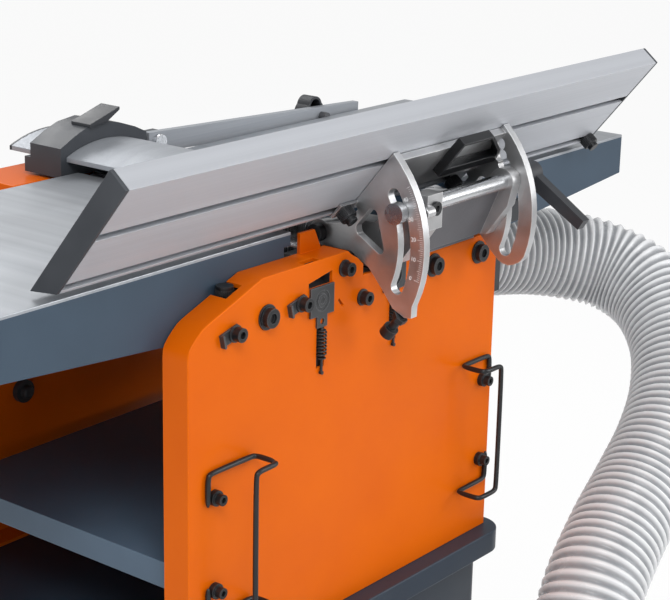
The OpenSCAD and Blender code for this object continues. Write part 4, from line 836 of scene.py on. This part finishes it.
def knurl(name, length, body, place):
    """Straight knurl round a screw head, standing on the place along its Z."""
    clear_selection()
    bpy.ops.mesh.primitive_cylinder_add(vertices=KNURL_SIDES, radius=KNURL_RADIUS + KNURL_FIT, depth=length,
                                        location=(0, 0, length / 2))
    piece = bpy.context.object
    piece.name = name
    settle(piece)
    sides = [face.index for face in piece.data.polygons if abs(face.normal.z) < 0.5]
    ridges = set(sides[::2])
    pick(piece, "FACE", lambda face: face.index in ridges)
    bpy.ops.mesh.extrude_faces_move(TRANSFORM_OT_shrink_fatten={"value": KNURL_HEIGHT})
    leave_edit()
    ease(piece, 0.15, segments=1, angle=40)
    piece.matrix_world = place
    settle(piece)
    dress(piece, BLACKED, body, smooth=30)


def outward(x, y, z):
    """A place on the back of the leaning fence, with Z pointing away from it."""
    return LEANING @ Matrix.Translation(at(x, y, z)) @ Matrix.Rotation(math.pi / 2, 4, "X")


for label, x in SLOT_SCREWS_X:
    knurl(label + "_slot_knurl", SLOT_KNURL_LENGTH, BODY_OF["slot_screws"], outward(x, SLOT_SCREW_Y, SLOT_Z))
knurl("stop_slot_knurl", SLOT_KNURL_LENGTH, BODY_OF["fence_stop"],
      outward(FENCE_STOP_X, FENCE_STOP_Y, SLOT_Z))

# Scale of tilt on the left quadrant, in millimetres from the pivot
SCALE_X = 7.98
SCALE_START = 26.1
SCALE_RATE = 0.9675
SCALE_DEGREES = 45
MARK_RIM = 106.6
MARK_WIDTH, MARK_HEIGHT = 0.32, 0.16
MARK_LENGTHS = {10: 5.2, 5: 4.2, 1: 2.8}
NUMBER_RADIUS = 97.5
NUMBER_SIZE = 5 * MM
NUMBER_HEIGHT = 0.08 * MM


def on_scale(radius, degrees):
    """A place on the scale, with X outwards and Z off the face."""
    a = math.radians(SCALE_START + SCALE_RATE * degrees)
    along = Vector((0, -math.cos(a), math.sin(a)))
    across = Vector((0, math.sin(a), math.cos(a)))
    turned = Matrix((along, across, Vector((-1, 0, 0)))).transposed().to_4x4()
    return LEANING @ Matrix.Translation(at(SCALE_X, 0, 0) + along * radius * MM) @ turned


def scale_number(degrees):
    """A number of the scale in relief."""
    clear_selection()
    bpy.ops.object.text_add()
    number = bpy.context.object
    number.data.body = str(degrees)
    number.data.size = NUMBER_SIZE
    number.data.align_x = "CENTER"
    number.data.align_y = "CENTER"
    number.data.extrude = NUMBER_HEIGHT
    number.data.resolution_u = 3
    bpy.ops.object.convert(target="MESH")
    number = bpy.context.object
    number.matrix_world = on_scale(NUMBER_RADIUS, degrees)
    settle(number)
    return number


def make_scale():
    """Degrees of tilt round the rim of the left quadrant: marks and numbers in relief."""
    clear_selection()
    bpy.ops.mesh.primitive_cube_add(size=1)
    first = bpy.context.object
    first.name = "degree_mark"
    first.scale = (1, MARK_WIDTH * MM, MARK_HEIGHT * MM)
    settle(first)
    pick(first, "FACE", lambda face: face.normal.z > 0.5)
    bpy.ops.transform.resize(value=(1, 0.6, 1))
    leave_edit()
    pieces = []
    for degrees in range(SCALE_DEGREES + 1):
        mark = twin(first, "degree_mark")
        long = next(length for step, length in MARK_LENGTHS.items() if degrees % step == 0)
        mark.matrix_world = on_scale(MARK_RIM - long / 2, degrees) @ Matrix.Diagonal((long * MM, 1, 1, 1))
        settle(mark)
        pieces.append(mark)
    pieces += [scale_number(degrees) for degrees in range(0, SCALE_DEGREES, 10)]
    take(first)
    bpy.ops.object.delete()
    clear_selection()
    for piece in pieces:
        piece.select_set(True)
    bpy.context.view_layer.objects.active = pieces[0]
    bpy.ops.object.join()
    scale = bpy.context.object
    scale.name = "tilt_scale"
    dress(scale, MARKING, BODY_OF["quadrants"], smooth=0)


make_scale()

# Fence and its carrier
eased("fence", 0.5, ANODISED)
eased("fence_caps", 0.8, CAP_PLASTIC, segments=3)
eased("fence_stop", 0.4, BLACKED)
eased("quadrants", 1.0, CAST_ALLOY, segments=3)
eased("slot_screws", 0.4, BLACKED)
eased("web_bracket", 0.6, BLACKED)
WALL_ENDS = (50 * MM, 155.5 * MM)


def make_carrier():
    """Bright arms with a wall between them, whose darker grey is painted shade over its grey paint."""
    piece = copy_of("carrier", CAST_ALLOY, SHADED_GREY_CASTING)
    for face in piece.data.polygons:
        # The wall between the arms takes the darker grey: painted shade.
        face.material_index = int(WALL_ENDS[0] < face.center.x < WALL_ENDS[1])
    ease(piece, 1.5, segments=3)
    dress(piece, None, BODY_OF["carrier"], "carrier")


make_carrier()
eased("pivot_screws", 0.5, BLACKED)
eased("clamp_bar", 0.5, CHROME)
eased("clamp_lever", 2.2, BLACK_PLASTIC, segments=4)
eased("angle_pointer", 0.8, CAST_ALLOY, segments=3)

# Bridge guard
eased("guard_bracket", 0.8, IRON)
eased("guard_arm", 0.8, GUARD_ALLOY)
eased("guard_knob", 1.2, BLACK_PLASTIC, segments=3)
eased("guard_bolt", 0.5, BRIGHT)
eased("guard_holder", 1.0, CAP_PLASTIC, segments=3)
eased("guard_clip", 0.6, BLACK_PLASTIC)
eased("guard_plate", 0.5, GUARD_ALLOY)
eased("guard_trim", 0.5, BLACK_PLASTIC)

# Fittings on the near panel
STOP_KNURL_PLACE = at(-143.5, -146, 813)
STOP_KNURL_LENGTH = 10 * MM
eased("panel_bolts", 0.4, BLACKED)
eased("panel_clips", 0.3, GREY_STEEL)
eased("stop_screw", 0.4, BLACKED)
knurl("stop_knurl", STOP_KNURL_LENGTH, "machine", Matrix.Translation(STOP_KNURL_PLACE))


def make_wires():
    """The wire loops, drawn round."""
    piece = copy_of("wire_brackets")
    soft = piece.modifiers.new("drawn_round", "SUBSURF")
    soft.levels = soft.render_levels = 2
    apply_modifiers(piece)
    dress(piece, BLACKED, "machine", "wire_brackets", smooth=60)


make_wires()
eased("side_latch", 1.0, BLACK_PLASTIC)

# Floor and light
WHITE = (1, 1, 1, 1)
FLOOR_COLOUR = (0.86, 0.86, 0.86, 1)
FLOOR_RADIUS = 30
FLOOR_GLOW = 0.9
SKY_STRENGTH = 0.58
SOFTBOXES = (
    ("key_softbox", (-1.6, -1.5, 2.9), (0, 0, 0.75), (1.6, 1.2), 58),
    ("side_softbox", (1.8, -2.2, 1.6), (0, 0, 0.75), (1.2, 1.6), 30),
    ("back_softbox", (0.6, 2.4, 2.4), (0, 0, 0.85), (1.8, 1.0), 40),
)


def rays_of_view(tree):
    """One for rays from the camera, straight or through clear film, and nought for light on the object."""
    path = tree.nodes.new("ShaderNodeLightPath")
    return math_node(tree, "MAXIMUM", path.outputs["Is Camera Ray"], path.outputs["Is Transmission Ray"])


def make_floor():
    """Pale floor that the camera sees nearly white, with its shadow kept."""
    clear_selection()
    bpy.ops.mesh.primitive_circle_add(vertices=96, radius=FLOOR_RADIUS, fill_type="NGON", location=(0, 0, 0))
    floor = bpy.context.object
    floor.name = "studio_floor"
    pale = bpy.data.materials.new("pale_floor")
    pale.use_nodes = True
    tree = pale.node_tree
    shader = tree.nodes["Principled BSDF"]
    shader.inputs["Base Color"].default_value = FLOOR_COLOUR
    shader.inputs["Roughness"].default_value = 0.8
    shader.inputs["Specular IOR Level"].default_value = 0.1
    light = tree.nodes.new("ShaderNodeEmission")
    light.inputs["Color"].default_value = WHITE
    light.inputs["Strength"].default_value = 1.0
    mix = tree.nodes.new("ShaderNodeMixShader")
    joined(tree, math_node(tree, "MULTIPLY", rays_of_view(tree), FLOOR_GLOW), mix.inputs[0])
    joined(tree, shader.outputs[0], mix.inputs[1])
    joined(tree, light.outputs[0], mix.inputs[2])
    joined(tree, mix.outputs[0], tree.nodes["Material Output"].inputs["Surface"])
    floor.data.materials.append(pale)


def make_sky():
    """White all round, at full strength only for the camera's view."""
    world = bpy.data.worlds.new("studio")
    bpy.context.scene.world = world
    world.use_nodes = True
    tree = world.node_tree
    sky = tree.nodes["Background"]
    sky.inputs["Color"].default_value = WHITE
    strength = math_node(tree, "MULTIPLY_ADD", rays_of_view(tree), 1 - SKY_STRENGTH, SKY_STRENGTH)
    joined(tree, strength, sky.inputs["Strength"])


def add_softbox(name, place, aim, size, power):
    clear_selection()
    bpy.ops.object.light_add(type="AREA", location=place)
    lit = bpy.context.object
    lit.name = name
    lit.data.shape = "RECTANGLE"
    lit.data.size, lit.data.size_y = size
    lit.data.energy = power
    lit.rotation_euler = (Vector(aim) - Vector(place)).to_track_quat("-Z", "Y").to_euler()


make_floor()
make_sky()
for softbox in SOFTBOXES:
    add_softbox(*softbox)
bpy.context.scene.view_settings.view_transform = "Standard"
